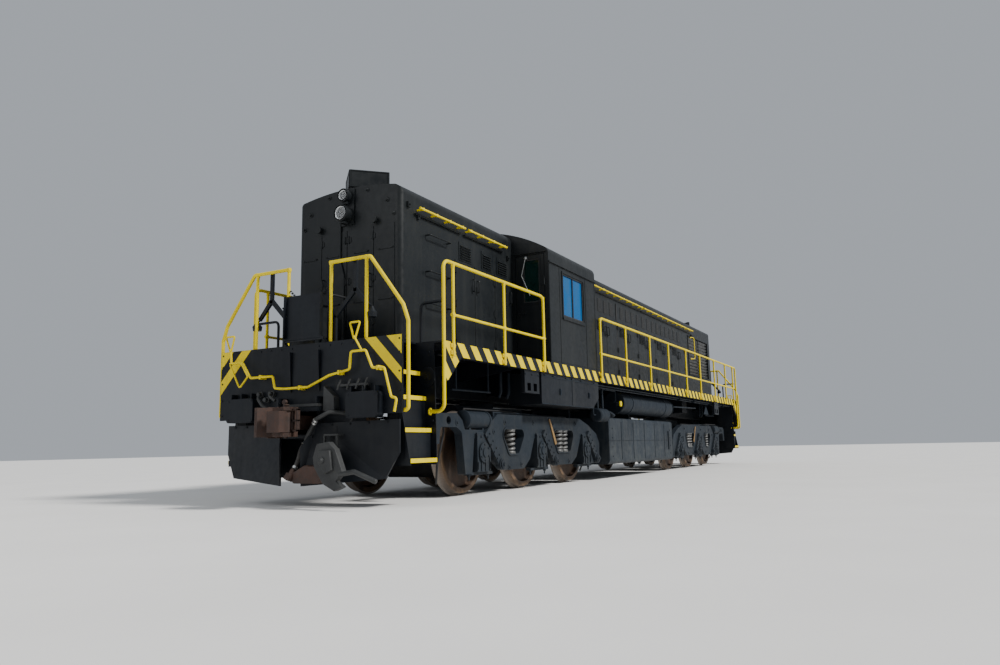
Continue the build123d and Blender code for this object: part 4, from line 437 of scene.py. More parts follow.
class Shape:
    """Collects many small closed forms, which become one piece."""

    def __init__(self):
        self.points = []
        self.faces = []

    def add(self, points, faces):
        start = len(self.points)
        self.points += [tuple(point) for point in points]
        self.faces += [tuple(start + index for index in face) for face in faces]

    def box(self, x, y, z):
        corners = [(a, b, c) for a in sorted(x) for b in sorted(y) for c in sorted(z)]
        faces = [(0, 1, 3, 2), (4, 6, 7, 5), (0, 4, 5, 1), (2, 3, 7, 6), (0, 2, 6, 4), (1, 5, 7, 3)]
        self.add(corners, faces)

    def tube(self, rings):
        """Skin over rings of points, closed at both ends."""
        sides = len(rings[0])
        last = (len(rings) - 1) * sides
        faces = [tuple(reversed(range(sides))), tuple(range(last, last + sides))]
        for row in range(0, last, sides):
            for index in range(sides):
                a = row + index
                b = row + (index + 1) % sides
                faces.append((a, b, b + sides, a + sides))
        self.add([point for ring in rings for point in ring], faces)

    def prism(self, outline, low, high, axis):
        """Closed outline, given in the two other axes in order, between two values along an axis."""
        rings = []
        for along in (low, high):
            ring = [list(pair) for pair in outline]
            for point in ring:
                point.insert("xyz".index(axis), along)
            rings.append(ring)
        self.tube(rings)

    def lathe(self, start, direction, rows, sides=24):
        """Turned form along a direction. Each row: distance along it, radius."""
        direction = Vector(direction).normalized()
        across = direction.orthogonal().normalized()
        other = direction.cross(across)
        self.tube([circle(Vector(start) + direction * along, across, other, radius, sides)
                   for along, radius in rows])

    def rod(self, start, end, radius, sides=12):
        run = Vector(end) - Vector(start)
        self.lathe(start, run, [(0.0, radius), (run.length, radius)], sides)

    def bolt(self, start, direction, radius=0.014, height=0.012):
        """Hexagon head with a domed top."""
        self.lathe(start, direction, [(0.0, radius), (0.75 * height, radius), (height, 0.75 * radius)], 6)

    def pipe(self, points, radius, bend=0.05, sides=8):
        """Bent pipe along a route of straight runs."""
        line = bent_line([Vector(point) for point in points], bend)
        across = (line[1] - line[0]).normalized().orthogonal().normalized()
        rings = []
        for index, point in enumerate(line):
            before = line[max(index - 1, 0)]
            after = line[min(index + 1, len(line) - 1)]
            heading = (after - before).normalized()
            across = (across - heading * across.dot(heading)).normalized()
            rings.append(circle(point, across, heading.cross(across), radius, sides))
        self.tube(rings)

    def piece(self, name, finish, body, smooth=True, bevel=0.0):
        """One object that rides a body."""
        mesh = bpy.data.meshes.new(name)
        mesh.from_pydata(self.points, [], self.faces)
        work = bmesh.new()
        work.from_mesh(mesh)
        bmesh.ops.recalc_face_normals(work, faces=work.faces)
        work.to_mesh(mesh)
        work.free()
        mesh.materials.append(finishes[finish])
        item = bpy.data.objects.new(name, mesh)
        scene.collection.objects.link(item)
        if smooth:
            mesh.polygons.foreach_set("use_smooth", [True] * len(mesh.polygons))
            mesh.set_sharp_from_angle(angle=SHARP)
        if bevel:
            edge = item.modifiers.new("edge", "BEVEL")
            edge.width = bevel
            edge.segments = 2
            edge.limit_method = "ANGLE"
            edge.angle_limit = SHARP
        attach(item, body)
        return item


class Part:
    """Mirrors or turns places given for the front left: ends change the sign of X, sides that of Y.

    X counts from a start, such as a truck's middle or a wall.
    """

    def __init__(self, end, side, start=0.0):
        self.end = end
        self.side = side
        self.start = start
        self.ahead = (end, 0, 0)
        self.out = (0, side, 0)

    def at(self, x, y, z):
        return self.end * (self.start + x), self.side * y, z

    def route(self, *points):
        return [self.at(*point) for point in points]

    def box(self, shape, x, y, z):
        shape.box([self.end * (self.start + value) for value in x], [self.side * value for value in y], z)

    def plate_across(self, shape, outline, x):
        """Plate with its outline in Y and Z, between two places along X."""
        low, high = (self.end * (self.start + value) for value in x)
        shape.prism([(self.side * y, z) for y, z in outline], low, high, "x")

    def plate_along(self, shape, outline, y):
        """Plate with its outline in X and Z, between two places along Y."""
        low, high = (self.side * value for value in y)
        shape.prism([(self.end * (self.start + x), z) for x, z in outline], low, high, "y")


LEFT_AND_RIGHT = [Part(1.0, side) for side in BOTH]
CORNERS = [Part(end, side) for end in BOTH for side in BOTH]


# Brake hoses: the routes' points, from the angle cock down to the coupling
HOSE_DIAMETER = 0.044
HOSE_POINTS = [
    (8.215, 0.092, 0.690), (8.265, 0.092, 0.690), (8.308, 0.090, 0.655), (8.330, 0.084, 0.608),
    (8.340, 0.076, 0.554), (8.349, 0.066, 0.500), (8.364, 0.054, 0.448), (8.390, 0.042, 0.402),
]


def make_hoses():
    for end, sign in ENDS:
        half = Part(sign, sign)
        curve = bpy.data.curves.new(f"air_hose_{end}", "CURVE")
        curve.dimensions = "3D"
        curve.bevel_depth = HOSE_DIAMETER / 2
        curve.bevel_resolution = 6
        curve.use_fill_caps = True
        spline = curve.splines.new("NURBS")
        spline.points.add(len(HOSE_POINTS) - 1)
        for point, place in zip(spline.points, HOSE_POINTS):
            point.co = (*half.at(*place), 1.0)
        spline.order_u = 3
        spline.use_endpoint_u = True
        spline.resolution_u = 12
        curve.materials.append(finishes["hose_rubber"])
        hose = bpy.data.objects.new(f"air_hose_{end}", curve)
        scene.collection.objects.link(hose)
        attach(hose, "carbody")
        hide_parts(f"brake_hose_{end}")


# Stripes: thin plates of paint, clipped to the sheet that they lie on
PAINT = 0.0015
MARGIN = 0.002
STRIPE_PITCH = 0.290
STRIPE_WIDTH = 0.150
STRIPE_DROP = 0.550
STRIPE_RUN = -0.85 * STRIPE_DROP
STRIPE_START = SILL_END + 0.020
SILL_LOW = DECK_TOP - 0.164
GUSSET = [(7.470, 1.345), (7.545, 1.335), (7.545, SILL_LOW), (7.190, SILL_LOW)]
# Bands on the end sheets' corners, each row: distance from the middle at the deck's edge, inner and outer
END_BANDS = [(0.840, 0.990), (1.130, 1.330)]
END_BAND_DROP = 0.900
END_BAND_RUN = END_BAND_DROP / 1.05
END_BAND_SHEET = rectangle((0.700, 1.326), (0.970, DECK_TOP - MARGIN))


def slanted(inner, outer, drop, run):
    """Outline of a band that leaves the deck's edge and shifts by a run while it drops."""
    low = DECK_TOP - drop
    return [(inner + run, low), (outer + run, low), (outer, DECK_TOP), (inner, DECK_TOP)]


def clipped(outline, region):
    """Part of a convex outline inside a convex region, both given anticlockwise."""
    for start, end in zip(region, region[1:] + region[:1]):
        def inward(point):
            return (end[0] - start[0]) * (point[1] - start[1]) - (end[1] - start[1]) * (point[0] - start[0])
        kept = []
        for here, after in zip(outline, outline[1:] + outline[:1]):
            if inward(here) >= 0:
                kept.append(here)
            if inward(here) * inward(after) < 0:
                share = inward(here) / (inward(here) - inward(after))
                kept.append((here[0] + share * (after[0] - here[0]), here[1] + share * (after[1] - here[1])))
        outline = kept
    return outline


def sill_stripes():
    """Slanting stripes on both side sills and on the gussets under their ends."""
    shape = Shape()
    sill = rectangle((-SILL_END, SILL_END), (SILL_LOW + MARGIN, DECK_TOP - MARGIN))
    rear_gusset = [(-x, z) for x, z in reversed(GUSSET)]
    for index in range(-2, int(2 * SILL_END / STRIPE_PITCH) + 3):
        x = STRIPE_START - index * STRIPE_PITCH
        for region in (sill, GUSSET, rear_gusset):
            outline = clipped(slanted(x - STRIPE_WIDTH, x, STRIPE_DROP, STRIPE_RUN), region)
            if len(outline) > 2:
                for wall in LEFT_AND_RIGHT:
                    wall.plate_along(shape, outline, (SILL_FACE, SILL_FACE + PAINT))
    shape.piece("sill_stripes", "safety_yellow", "carbody", smooth=False)


def end_stripes():
    """Bands that run down and outwards across the corners of both end sheets."""
    shape = Shape()
    for inner, outer in END_BANDS:
        outline = clipped(slanted(inner, outer, END_BAND_DROP, END_BAND_RUN), END_BAND_SHEET)
        for corner in CORNERS:
            corner.plate_across(shape, outline, (END_SHEET, END_SHEET + PAINT))
    shape.piece("end_stripes", "safety_yellow", "carbody", smooth=False)


# Treads of the corner steps, each row: top above the rail, outer edge, reach along the locomotive
TREADS = [(0.470, 1.330, 8.050), (0.790, 1.260, 8.050), (1.140, 1.190, 8.168), (1.420, 1.120, 8.168)]
TREAD_EDGE = 0.004
TREAD_LIP = 0.045
STEP_BACK = 7.562
CLEAT_ROWS = 7
CLEAT_PITCH = 0.028
CLEAT_INSET = 0.025
CLEAT_HALF = 0.004
CLEAT_HEIGHT = 0.005
# Upright plates over the two lowest treads, each row: foot and head above the rail, outer face
RISERS = [(0.470, 0.745, 1.252), (0.790, 1.095, 1.182)]
RISER_REACH = 8.050
RISER_SHEET = 0.006
# Bolts on the wells' backs, each row: distance from the middle, height
WELL_BOLTS = [(1.00, 0.90), (1.28, 0.90), (1.16, 0.90), (1.04, 1.66), (1.24, 1.66)]
WELL_COVER = [(0.0, 0.112), (0.010, 0.112), (0.014, 0.100), (0.014, 0.030), (0.022, 0.026)]


def step_details():
    """Yellow tread edges, cleats on the treads, risers, and the covers and bolts of the wells' backs."""
    edges = Shape()
    cleats = Shape()
    plates = Shape()
    for corner in CORNERS:
        for height, edge, reach in TREADS:
            top = RAIL_TOP + height
            corner.box(edges, (STEP_BACK, reach), (edge, edge + TREAD_EDGE), (top - TREAD_LIP, top + 0.001))
            for row in range(CLEAT_ROWS):
                y = about(edge - CLEAT_INSET - row * CLEAT_PITCH, CLEAT_HALF)
                corner.box(cleats, (STEP_BACK + 0.02, reach - 0.02), y, (top, top + CLEAT_HEIGHT))
        for foot, head, face in RISERS:
            corner.box(plates, (STEP_BACK, RISER_REACH), (face - RISER_SHEET, face),
                       (RAIL_TOP + foot, RAIL_TOP + head))
        plates.lathe(corner.at(STEP_BACK, 1.205, 1.385), corner.ahead, WELL_COVER, 32)
        for y, z in WELL_BOLTS:
            plates.bolt(corner.at(STEP_BACK, y, z), corner.ahead)
    edges.piece("tread_edges", "safety_yellow", "carbody", smooth=False)
    cleats.piece("tread_cleats", "frame_paint", "carbody", smooth=False)
    plates.piece("step_plates", "frame_paint", "carbody")


# Coil springs that stand for the plain columns of the CAD, placed from the truck's middle
SPRING_PLACES = (0.830, -0.735, -0.925)
SPRING_Y = 1.040
SPRING_LOW = 0.508
SPRING_HIGH = 0.833
SEAT_RADIUS = 0.084
SEAT_HEIGHT = 0.012
# The wound wire and the thinner one inside it, each row: radius, wire radius, turns, hand
WINDINGS = [(0.064, 0.019, 5.5, 1.0), (0.034, 0.009, 8.0, -1.0)]
STEPS_PER_TURN = 16
FLAT_SHARE = 0.09


def coil(shape, x, y):
    """Coil spring with flat end turns, a thinner coil inside it, and a round seat at each end."""
    for radius, wire, turns, hand in WINDINGS:
        steps = int(turns * STEPS_PER_TURN)
        rings = []
        for step in range(steps + 1):
            share = step / steps
            angle = hand * 2 * pi * turns * share
            climb = min(max((share - FLAT_SHARE) / (1 - 2 * FLAT_SHARE), 0.0), 1.0)
            height = SPRING_LOW + wire + climb * (SPRING_HIGH - SPRING_LOW - 2 * wire)
            outward = Vector((cos(angle), sin(angle), 0.0))
            centre = Vector((x, y, height)) + radius * outward
            rings.append(circle(centre, outward, Vector(UP), wire, 8))
        shape.tube(rings)
    for low in (SPRING_LOW, SPRING_HIGH - SEAT_HEIGHT):
        shape.rod((x, y, low), (x, y, low + SEAT_HEIGHT), SEAT_RADIUS, 24)


def springs():
    for end, sign in ENDS:
        shape = Shape()
        for side in BOTH:
            for place in SPRING_PLACES:
                coil(shape, sign * (TRUCK_CENTRE + place), side * SPRING_Y)
        item = shape.piece(f"coil_springs_{end}", "spring_steel", f"truck_{end}")
        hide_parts(f"truck_springs_{end}")


# Truck fittings, in the front truck's own places: X from the truck's middle, heights above the floor
FRAME_FACE = 1.100
LINK_FACE = 1.148
BOX_FACE = 1.125
LINK_TOP = Vector((-0.055, 0.798))
LINK_FOOT = Vector((-0.430, 0.378))
LINK_BOLTS = (0.12, 0.34, 0.56, 0.76)
WEAR_PLATES = (-0.150, -0.050, 0.050, 0.150)
COVER_BOLTS = 6
COVER_CIRCLE = 0.098
TIE_BAR_HALF = 0.290
TIE_BAR_FOOT = 0.262
TIE_BOLTS = (-0.235, 0.235)
TIE_BOLT_Y = 1.048
GEAR_Y = 1.045
CYLINDER_HEIGHT = 0.940
CYLINDER_COVER = [(-0.030, 0.118), (0.004, 0.118), (0.012, 0.105), (0.030, 0.060), (0.034, 0.030)]
LINK_BLOCK = [(0.0, 0.050), (0.014, 0.050), (0.020, 0.040), (0.020, 0.022), (0.034, 0.020)]
# Round bosses on the side frames, each row: place, height, radius
BOSSES = [
    (0.60, 0.36, 0.020), (0.95, 0.33, 0.024), (-0.62, 0.36, 0.020), (-1.02, 0.36, 0.020), (1.36, 0.80, 0.020),
    (1.05, 0.93, 0.026), (0.20, 0.93, 0.022), (-0.45, 0.92, 0.022), (-1.30, 0.94, 0.022), (2.26, 0.90, 0.022),
]
LEVER = [(-0.335, 1.000), (-0.300, 0.990), (-0.505, 0.610), (-0.560, 0.635)]
# Sand pipes to the outer wheels, each row: place, height of the top, reach back to the wheel
SAND_PIPES = [(2.33, 0.900, 0.10), (-2.25, 0.600, -0.05)]


def axle_box_details(iron, truck, axle):
    """Wear plates and bolts of one axle box, the tie bar under it, and its slanting link."""
    for place in WEAR_PLATES:
        x = axle + place
        truck.box(iron, about(x, 0.012), (BOX_FACE - 0.002, BOX_FACE + 0.012), (0.31, 0.42))
        iron.bolt(truck.at(x, BOX_FACE, 0.735), truck.out, 0.016, 0.014)
    for index in range(COVER_BOLTS):
        angle = 2 * pi * index / COVER_BOLTS + 0.5
        x = axle + COVER_CIRCLE * cos(angle)
        z = AXLE_HEIGHT + COVER_CIRCLE * sin(angle)
        iron.bolt(truck.at(x, BOX_FACE + 0.025, z), truck.out, 0.013)
    truck.box(iron, about(axle, TIE_BAR_HALF), (1.010, 1.085), (TIE_BAR_FOOT, TIE_BAR_FOOT + 0.034))
    for place in TIE_BOLTS:
        top = truck.at(axle + place, TIE_BOLT_Y, TIE_BAR_FOOT)
        iron.bolt(top, DOWN, 0.022, 0.022)
        iron.rod(truck.at(axle + place, TIE_BOLT_Y, 0.200), top, 0.011, 8)
    for share in LINK_BOLTS:
        x, z = LINK_TOP.lerp(LINK_FOOT, share)
        for step in BOTH:
            spot = truck.at(axle + x + step * 0.026, LINK_FACE, z - step * 0.023)
            iron.bolt(spot, truck.out, 0.013, 0.014)
    iron.lathe(truck.at(axle + LINK_FOOT.x, LINK_FACE + 0.016, LINK_FOOT.y), truck.out, LINK_BLOCK, 20)


def brake_details(iron, truck):
    """The brake cylinder's end covers, its push rod and lever, and the long pull rods."""
    for x, way in ((1.520, -1.0), (2.040, 1.0)):
        iron.lathe(truck.at(x, GEAR_Y, CYLINDER_HEIGHT), (truck.end * way, 0, 0), CYLINDER_COVER, 28)
    iron.rod(truck.at(1.300, GEAR_Y, CYLINDER_HEIGHT), truck.at(1.520, GEAR_Y, CYLINDER_HEIGHT), 0.018)
    truck.box(iron, (1.272, 1.308), (1.030, 1.060), (0.760, 1.060))
    iron.rod(truck.at(0.30, GEAR_Y, 1.052), truck.at(1.290, GEAR_Y, 1.045), 0.013)
    iron.rod(truck.at(-1.42, GEAR_Y, 0.985), truck.at(0.30, GEAR_Y, 1.052), 0.013)


def truck_details():
    """Bolts, caps, wear plates, links, pipes, rusty levers and cylinder ends on both trucks."""
    for end, sign in ENDS:
        iron = Shape()
        pipes = Shape()
        levers = Shape()
        for side in BOTH:
            truck = Part(sign, side, TRUCK_CENTRE)
            for axle in (-AXLE_SPACING, 0.0, AXLE_SPACING):
                axle_box_details(iron, truck, axle)
            for x, z, radius in BOSSES:
                rows = [(0.0, radius + 0.016), (0.006, radius + 0.014), (0.008, radius)]
                iron.lathe(truck.at(x, FRAME_FACE, z), truck.out, rows, 20)
                iron.bolt(truck.at(x, FRAME_FACE + 0.008, z), truck.out, radius * 0.7)
            brake_details(iron, truck)
            pipes.pipe(truck.route((2.02, GEAR_Y, 1.030), (2.02, GEAR_Y, 1.075), (1.10, 1.020, 1.075),
                                   (0.0, 0.99, 1.045), (-1.2, 0.98, 1.045)), 0.011)
            truck.plate_along(levers, LEVER, (FRAME_FACE + 0.001, FRAME_FACE + 0.017))
            for x, top, reach in SAND_PIPES:
                pipes.pipe(truck.route((x, 0.955, top), (x, 0.955, top - 0.12), (x, 0.860, 0.40),
                                       (x - reach, 0.775, 0.17)), 0.014, 0.06)
                iron.rod(truck.at(x, 0.955, top - 0.03), truck.at(x, 0.995, top - 0.03), 0.012, 8)
        iron.piece(f"truck_fittings_{end}", "gear_paint", f"truck_{end}")
        pipes.piece(f"truck_pipes_{end}", "machinery", f"truck_{end}")
        levers.piece(f"brake_levers_{end}", "tan_rust", f"truck_{end}", smooth=False, bevel=0.003)


# Door leaves of the hoods: X low and X high of each leaf of the short hood, then the long hood's even row
SHORT_LEAVES = [(5.820, 6.310), (5.260, 5.810), (4.760, 5.250)]
LONG_LEAF_START = 2.700
LONG_LEAF_PITCH = 0.620
LONG_LEAF_COUNT = 12
LEAF_FOOT = RAIL_TOP + 1.850
LEAF_HEAD = RAIL_TOP + 3.020
LEAF_FACE = HOOD_HALF + 0.008
LATCH_HEIGHT = LEAF_FOOT + 0.830
HINGE_HEIGHTS = (LEAF_FOOT + 0.140, LEAF_FOOT + 0.580, LEAF_HEAD - 0.140)
HINGE_HALF = 0.045
# Screened openings of the long hood, on both sides of its dark joint: first edge, pitch, count
SCREEN_ROWS = [(2.500, 0.310, 7), (0.040, 0.345, 13)]
SCREEN_Z = (3.105, 3.360)
SCREEN_SLATS = 7
SLAT_PITCH = 0.036
# Small stops on the hoods' sides, each row: place, height
SIDE_STOPS = [(7.36, 3.50), (7.16, 3.40), (4.86, 3.36), (2.70, 3.42), (-5.45, 3.42)]
KICK_PLATES = [(-7.42, 2.88), (4.72, 7.42)]
END_FACE = HOOD_END + 0.008
END_HINGE_HEIGHTS = (2.10, 2.62, 3.14)
END_BAR_HEIGHTS = (2.965, 2.355)
END_BARS = ((0.110, 0.330), (0.480, 0.700))
# Small round fittings near the headlights, each row: distance from the middle, height, radius
LAMP_SIDE_FITTINGS = [(0.60, 3.560, 0.022), (0.30, 3.735, 0.018), (0.70, 3.380, 0.020)]
ROOF_HATCHES = [(4.95, 6.10), (6.25, 7.30), (-4.9, -3.5), (-3.4, -2.0), (0.0, 1.3)]
HATCH_HALF = 0.62
ROOF_RISE = 0.085
ROOF_RADIUS = (HOOD_HALF ** 2 + ROOF_RISE ** 2) / (2 * ROOF_RISE)


def roof_height(y):
    """Height of the hoods' curved roof at a distance from the middle."""
    return RAIL_TOP + 3.775 - ROOF_RADIUS + sqrt(ROOF_RADIUS ** 2 - y ** 2)


def hood_leaves():
    """Each leaf: X low, X high, and 1 where its hinges are on the low side."""
    rows = [(low, high, index % 2) for index, (low, high) in enumerate(SHORT_LEAVES)]
    for index in range(LONG_LEAF_COUNT):
        high = LONG_LEAF_START - index * LONG_LEAF_PITCH
        rows.append((high - LONG_LEAF_PITCH + 0.014, high, index % 2))
    return rows


def leaf_details(iron, wall, low, high, hinged_low):
    """Hinges, latch, handle and screws of one door leaf."""
    hinge = low + 0.012 if hinged_low else high - 0.012
    latch = high - 0.055 if hinged_low else low + 0.055
    for z in HINGE_HEIGHTS:
        pin = LEAF_FACE + 0.006
        iron.rod(wall.at(hinge, pin, z - HINGE_HALF), wall.at(hinge, pin, z + HINGE_HALF), 0.010, 10)
        wall.box(iron, about(hinge, 0.034), (LEAF_FACE, LEAF_FACE + 0.005), about(z, 0.032))
    wall.box(iron, about(latch, 0.022), (LEAF_FACE, LEAF_FACE + 0.008), about(LATCH_HEIGHT, 0.055))
    foot = LATCH_HEIGHT - 0.02
    head = LATCH_HEIGHT + 0.14
    root = LEAF_FACE + 0.004
    grip = LEAF_FACE + 0.035
    iron.pipe(wall.route((latch, root, head), (latch, grip, head), (latch, grip, foot), (latch, root, foot)),
              0.007, 0.015)
    for z in (LEAF_FOOT + 0.02, LEAF_HEAD - 0.02):
        for x in (low + 0.03, (low + high) / 2, high - 0.03):
            iron.bolt(wall.at(x, LEAF_FACE, z), wall.out, 0.008, 0.005)


def hood_side_details(iron, joints, wall):
    """What one side of the hoods carries beside its doors."""
    for x, z in SIDE_STOPS:
        wall.box(iron, about(x, 0.022), (HOOD_HALF, HOOD_HALF + 0.030), about(z, 0.035))
        iron.rod(wall.at(x, HOOD_HALF, z), wall.at(x, HOOD_HALF + 0.05, z), 0.010, 10)
    # Dark upright joint between two body sections of the long hood
    wall.box(joints, (0.240, 0.272), (HOOD_HALF - 0.004, LEAF_FACE + 0.003), (DECK_TOP + 0.08, 3.400))
    # Row of screened openings under the eaves of the long hood
    for first, pitch, count in SCREEN_ROWS:
        for x in (first - index * pitch for index in range(count)):
            wall.box(joints, (x - 0.230, x), (HOOD_HALF, HOOD_HALF + 0.004), SCREEN_Z)
            for slat in range(SCREEN_SLATS):
                z = SCREEN_Z[0] + 0.012 + slat * SLAT_PITCH
                wall.box(iron, (x - 0.222, x - 0.008), (HOOD_HALF, HOOD_HALF + 0.010), (z, z + 0.014))
    # Post between the cab and the long hood's first door
    wall.box(iron, (2.705, 2.735), (HOOD_HALF, HOOD_HALF + 0.014), (DECK_TOP, 3.640))
    # Kick plate along the hoods' feet
    face = HOOD_HALF + 0.010
    for low, high in KICK_PLATES:
        wall.box(iron, (low, high), (HOOD_HALF, face), (DECK_TOP, DECK_TOP + 0.075))
        for x in spread(low + 0.05, high - 0.05, int((high - low) / 0.30) + 1):
            iron.bolt(wall.at(x, face, DECK_TOP + 0.05), wall.out, 0.010, 0.008)


def hood_end_details(iron, corner):
    """One half of a hood's end face: hinges, bars and handle of a door, and small fittings by the lamps."""
    pin = END_FACE + 0.008
    bar = END_FACE + 0.010
    grip = END_FACE + 0.04
    for z in END_HINGE_HEIGHTS:
        for y in (0.400, 0.030):
            corner.box(iron, (END_FACE, END_FACE + 0.006), about(y, 0.034), about(z, 0.030))
            iron.rod(corner.at(pin, y, z - HINGE_HALF), corner.at(pin, y, z + HINGE_HALF), 0.009, 8)
    for z in END_BAR_HEIGHTS:
        for y in END_BARS:
            corner.box(iron, (END_FACE, bar), y, about(z, 0.010))
            for screw in (y[0] + 0.015, y[1] - 0.015):
                iron.bolt(corner.at(bar, screw, z), corner.ahead, 0.009, 0.006)
    iron.pipe(corner.route((END_FACE, 0.36, 2.52), (grip, 0.36, 2.52), (grip, 0.36, 2.68),
                           (END_FACE, 0.36, 2.68)), 0.008, 0.015)
    for y, z, radius in LAMP_SIDE_FITTINGS:
        rows = [(0.0, radius + 0.010), (0.008, radius + 0.010), (0.010, radius), (0.030, radius * 0.8)]
        iron.lathe(corner.at(HOOD_END, y, z), corner.ahead, rows, 16)
    # Hood over the marker lamp
    rows = [(0.0, 0.038), (0.004, 0.046), (0.018, 0.046)]
    iron.lathe(corner.at(HOOD_END + 0.045, 0.430, RAIL_TOP + 3.300), corner.ahead, rows)


def hatch_details(iron, low, high):
    """Edges and bolts of one roof hatch."""
    for x in (low, high):
        places = (-HATCH_HALF, -0.42, -0.21, 0.0, 0.21, 0.42, HATCH_HALF)
        iron.pipe([(x, y, roof_height(y) + 0.003) for y in places], 0.009, 0.02, 6)
    for y in (-HATCH_HALF, HATCH_HALF):
        iron.box((low, high), about(y, 0.012), about(roof_height(y), 0.010))
        row = y * 0.955
        for x in spread(low, high, int((high - low) / 0.16) + 1):
            iron.bolt((x, row, roof_height(row)), UP, 0.010, 0.010)


def hood_details():
    iron = Shape()
    joints = Shape()
    for wall in LEFT_AND_RIGHT:
        for leaf in hood_leaves():
            leaf_details(iron, wall, *leaf)
        hood_side_details(iron, joints, wall)
    for corner in CORNERS:
        hood_end_details(iron, corner)
    for end in BOTH:
        x = HOOD_END + 0.018
        conduit = [(x, -0.10, 3.36), (x, -0.10, 2.90), (x, -0.04, 2.70), (x, -0.04, 1.80)]
        iron.pipe(Part(end, 1.0).route(*conduit), 0.014)
    for low, high in ROOF_HATCHES:
        hatch_details(iron, low, high)
    iron.piece("hood_fittings", "body_paint", "carbody")
    joints.piece("hood_joints", "seal_rubber", "carbody", smooth=False)


# Headlights, each row: height above the rail, barrel radius, length
LAMPS = [(3.665, 0.075, 0.110), (3.430, 0.095, 0.150)]
BOWL_DEPTH = 0.013
BOWL_STEPS = 8


def lamp_details():
    """Bright bowls and the lenses before them, rims with screws, and the lamps' feet and back plates."""
    bowls = Shape()
    rims = Shape()
    lenses = Shape()
    for end in BOTH:
        lamp = Part(end, 1.0)
        for height, radius, length in LAMPS:
            z = RAIL_TOP + height
            front = HOOD_END + length
            bottom = lamp.at(front - 0.0215, 0, z)
            inner = radius - 0.0115
            shares = [step / BOWL_STEPS for step in range(BOWL_STEPS + 1)]
            curve = [(BOWL_DEPTH * share ** 2, max(inner * share, 0.001)) for share in shares]
            back = [(BOWL_DEPTH, inner + 0.001), (-0.0003, inner + 0.001), (-0.0004, 0.001)]
            bowls.lathe(bottom, lamp.ahead, [(-0.0002, 0.001)] + curve + back, 32)
            dome = [(0.0190, inner * 0.8), (0.0205, inner * 0.45), (0.0210, 0.001)]
            lenses.lathe(bottom, lamp.ahead, [(0.0140, 0.001), (0.0140, inner), (0.0170, inner)] + dome, 32)
            rim = [(-0.030, radius + 0.001), (-0.030, radius + 0.010), (0.006, radius + 0.010),
                   (0.012, radius + 0.004), (0.012, radius - 0.012), (0.0, radius - 0.012)]
            rims.lathe(lamp.at(front - 0.012, 0, z), lamp.ahead, rim, 40)
            foot = (z - radius - 0.030, z - radius + 0.020)
            lamp.box(rims, (HOOD_END, front - 0.030), (-0.030, 0.030), foot)
            for index in range(4):
                angle = pi / 4 + index * pi / 2
                spot = lamp.at(front, (radius - 0.003) * cos(angle), z + (radius - 0.003) * sin(angle))
                rims.bolt(spot, lamp.ahead, 0.006, 0.004)
            flange = [(0.0, radius + 0.016), (0.012, radius + 0.016), (0.014, radius)]
            rims.lathe(lamp.at(HOOD_END, 0, z), lamp.ahead, flange, 32)
        lamp.box(rims, (HOOD_END, HOOD_END + 0.020), (-0.11, 0.11), (RAIL_TOP + 3.30, RAIL_TOP + 3.76))
    bowls.piece("lamp_bowls", "lamp_reflector", "carbody")
    lens = lenses.piece("sealed_lenses", "lens", "carbody")
    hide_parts("lamp_lenses")
    rims.piece("lamp_rims", "body_paint", "carbody")


# Cab. Its end walls' fittings are given from the front wall's face. The rear wall is that one turned round.
CAB_WALLS = {"front": Part(1.0, 1.0, CAB_FRONT), "rear": Part(-1.0, -1.0, -CAB_REAR)}
SIDE_WINDOW_X = (3.420, 4.210)
SIDE_WINDOW_Z = (RAIL_TOP + 2.500, RAIL_TOP + 3.160)
END_WINDOW_Y = (-1.290, -0.930)
END_WINDOW_Z = (RAIL_TOP + 2.560, RAIL_TOP + 3.260)
DOOR_WINDOW_Y = (0.985, 1.255)
DOOR_WINDOW_Z = (RAIL_TOP + 2.660, RAIL_TOP + 3.310)
CAB_CROWN = RAIL_TOP + 3.850
CAB_BOLTS = 24
RAIN_STRIPS = [(-1.33, -0.88), (0.84, 1.36)]
ANTENNA = (2.66, 0.30)
CUSHION = [(3.52, 0.520), (3.90, 0.520), (3.91, 0.575), (3.53, 0.590)]
# Gauges of the desk, each row: distance from the middle, height above the deck
GAUGES = [(-0.84, 1.02), (-0.72, 1.02), (-0.60, 1.02), (-0.48, 1.02), (-0.78, 0.88), (-0.54, 0.88)]


def border(across, upright, width):
    """Four bars round an opening, or inside it if the width is negative: reach across, reach upwards."""
    (low, high), (foot, head) = across, upright
    whole = (low - width, high + width)
    return [(whole, (head, head + width)), (whole, (foot - width, foot)),
            ((low - width, low), upright), ((high, high + width), upright)]


def cab_side_details(seals, iron, wall):
    """Seal, frame and arm rest of a side window, beads down the wall, and its rows of bolts."""
    for x, z in border(SIDE_WINDOW_X, SIDE_WINDOW_Z, -0.020):
        wall.box(seals, x, (CAB_HALF - 0.016, CAB_HALF - 0.002), z)
    for x, z in border(SIDE_WINDOW_X, SIDE_WINDOW_Z, 0.028):
        wall.box(iron, x, (CAB_HALF, CAB_HALF + 0.012), z)
    low, high = SIDE_WINDOW_X
    sill = SIDE_WINDOW_Z[0]
    wall.box(iron, (low - 0.03, high + 0.03), (CAB_HALF, CAB_HALF + 0.020), (sill - 0.055, sill - 0.030))
    for x in (CAB_REAR + 0.02, CAB_FRONT - 0.02, 3.32, 4.32):
        wall.box(iron, about(x, 0.010), (CAB_HALF, CAB_HALF + 0.004), (DECK_TOP + 0.02, RAIL_TOP + 3.22))
    for x in spread(CAB_REAR + 0.05, CAB_FRONT - 0.05, CAB_BOLTS):
        iron.bolt(wall.at(x, CAB_HALF, DECK_TOP + 0.035), wall.out, 0.008, 0.005)
        iron.bolt(wall.at(x, CAB_HALF, RAIL_TOP + 3.225), wall.out, 0.007, 0.005)


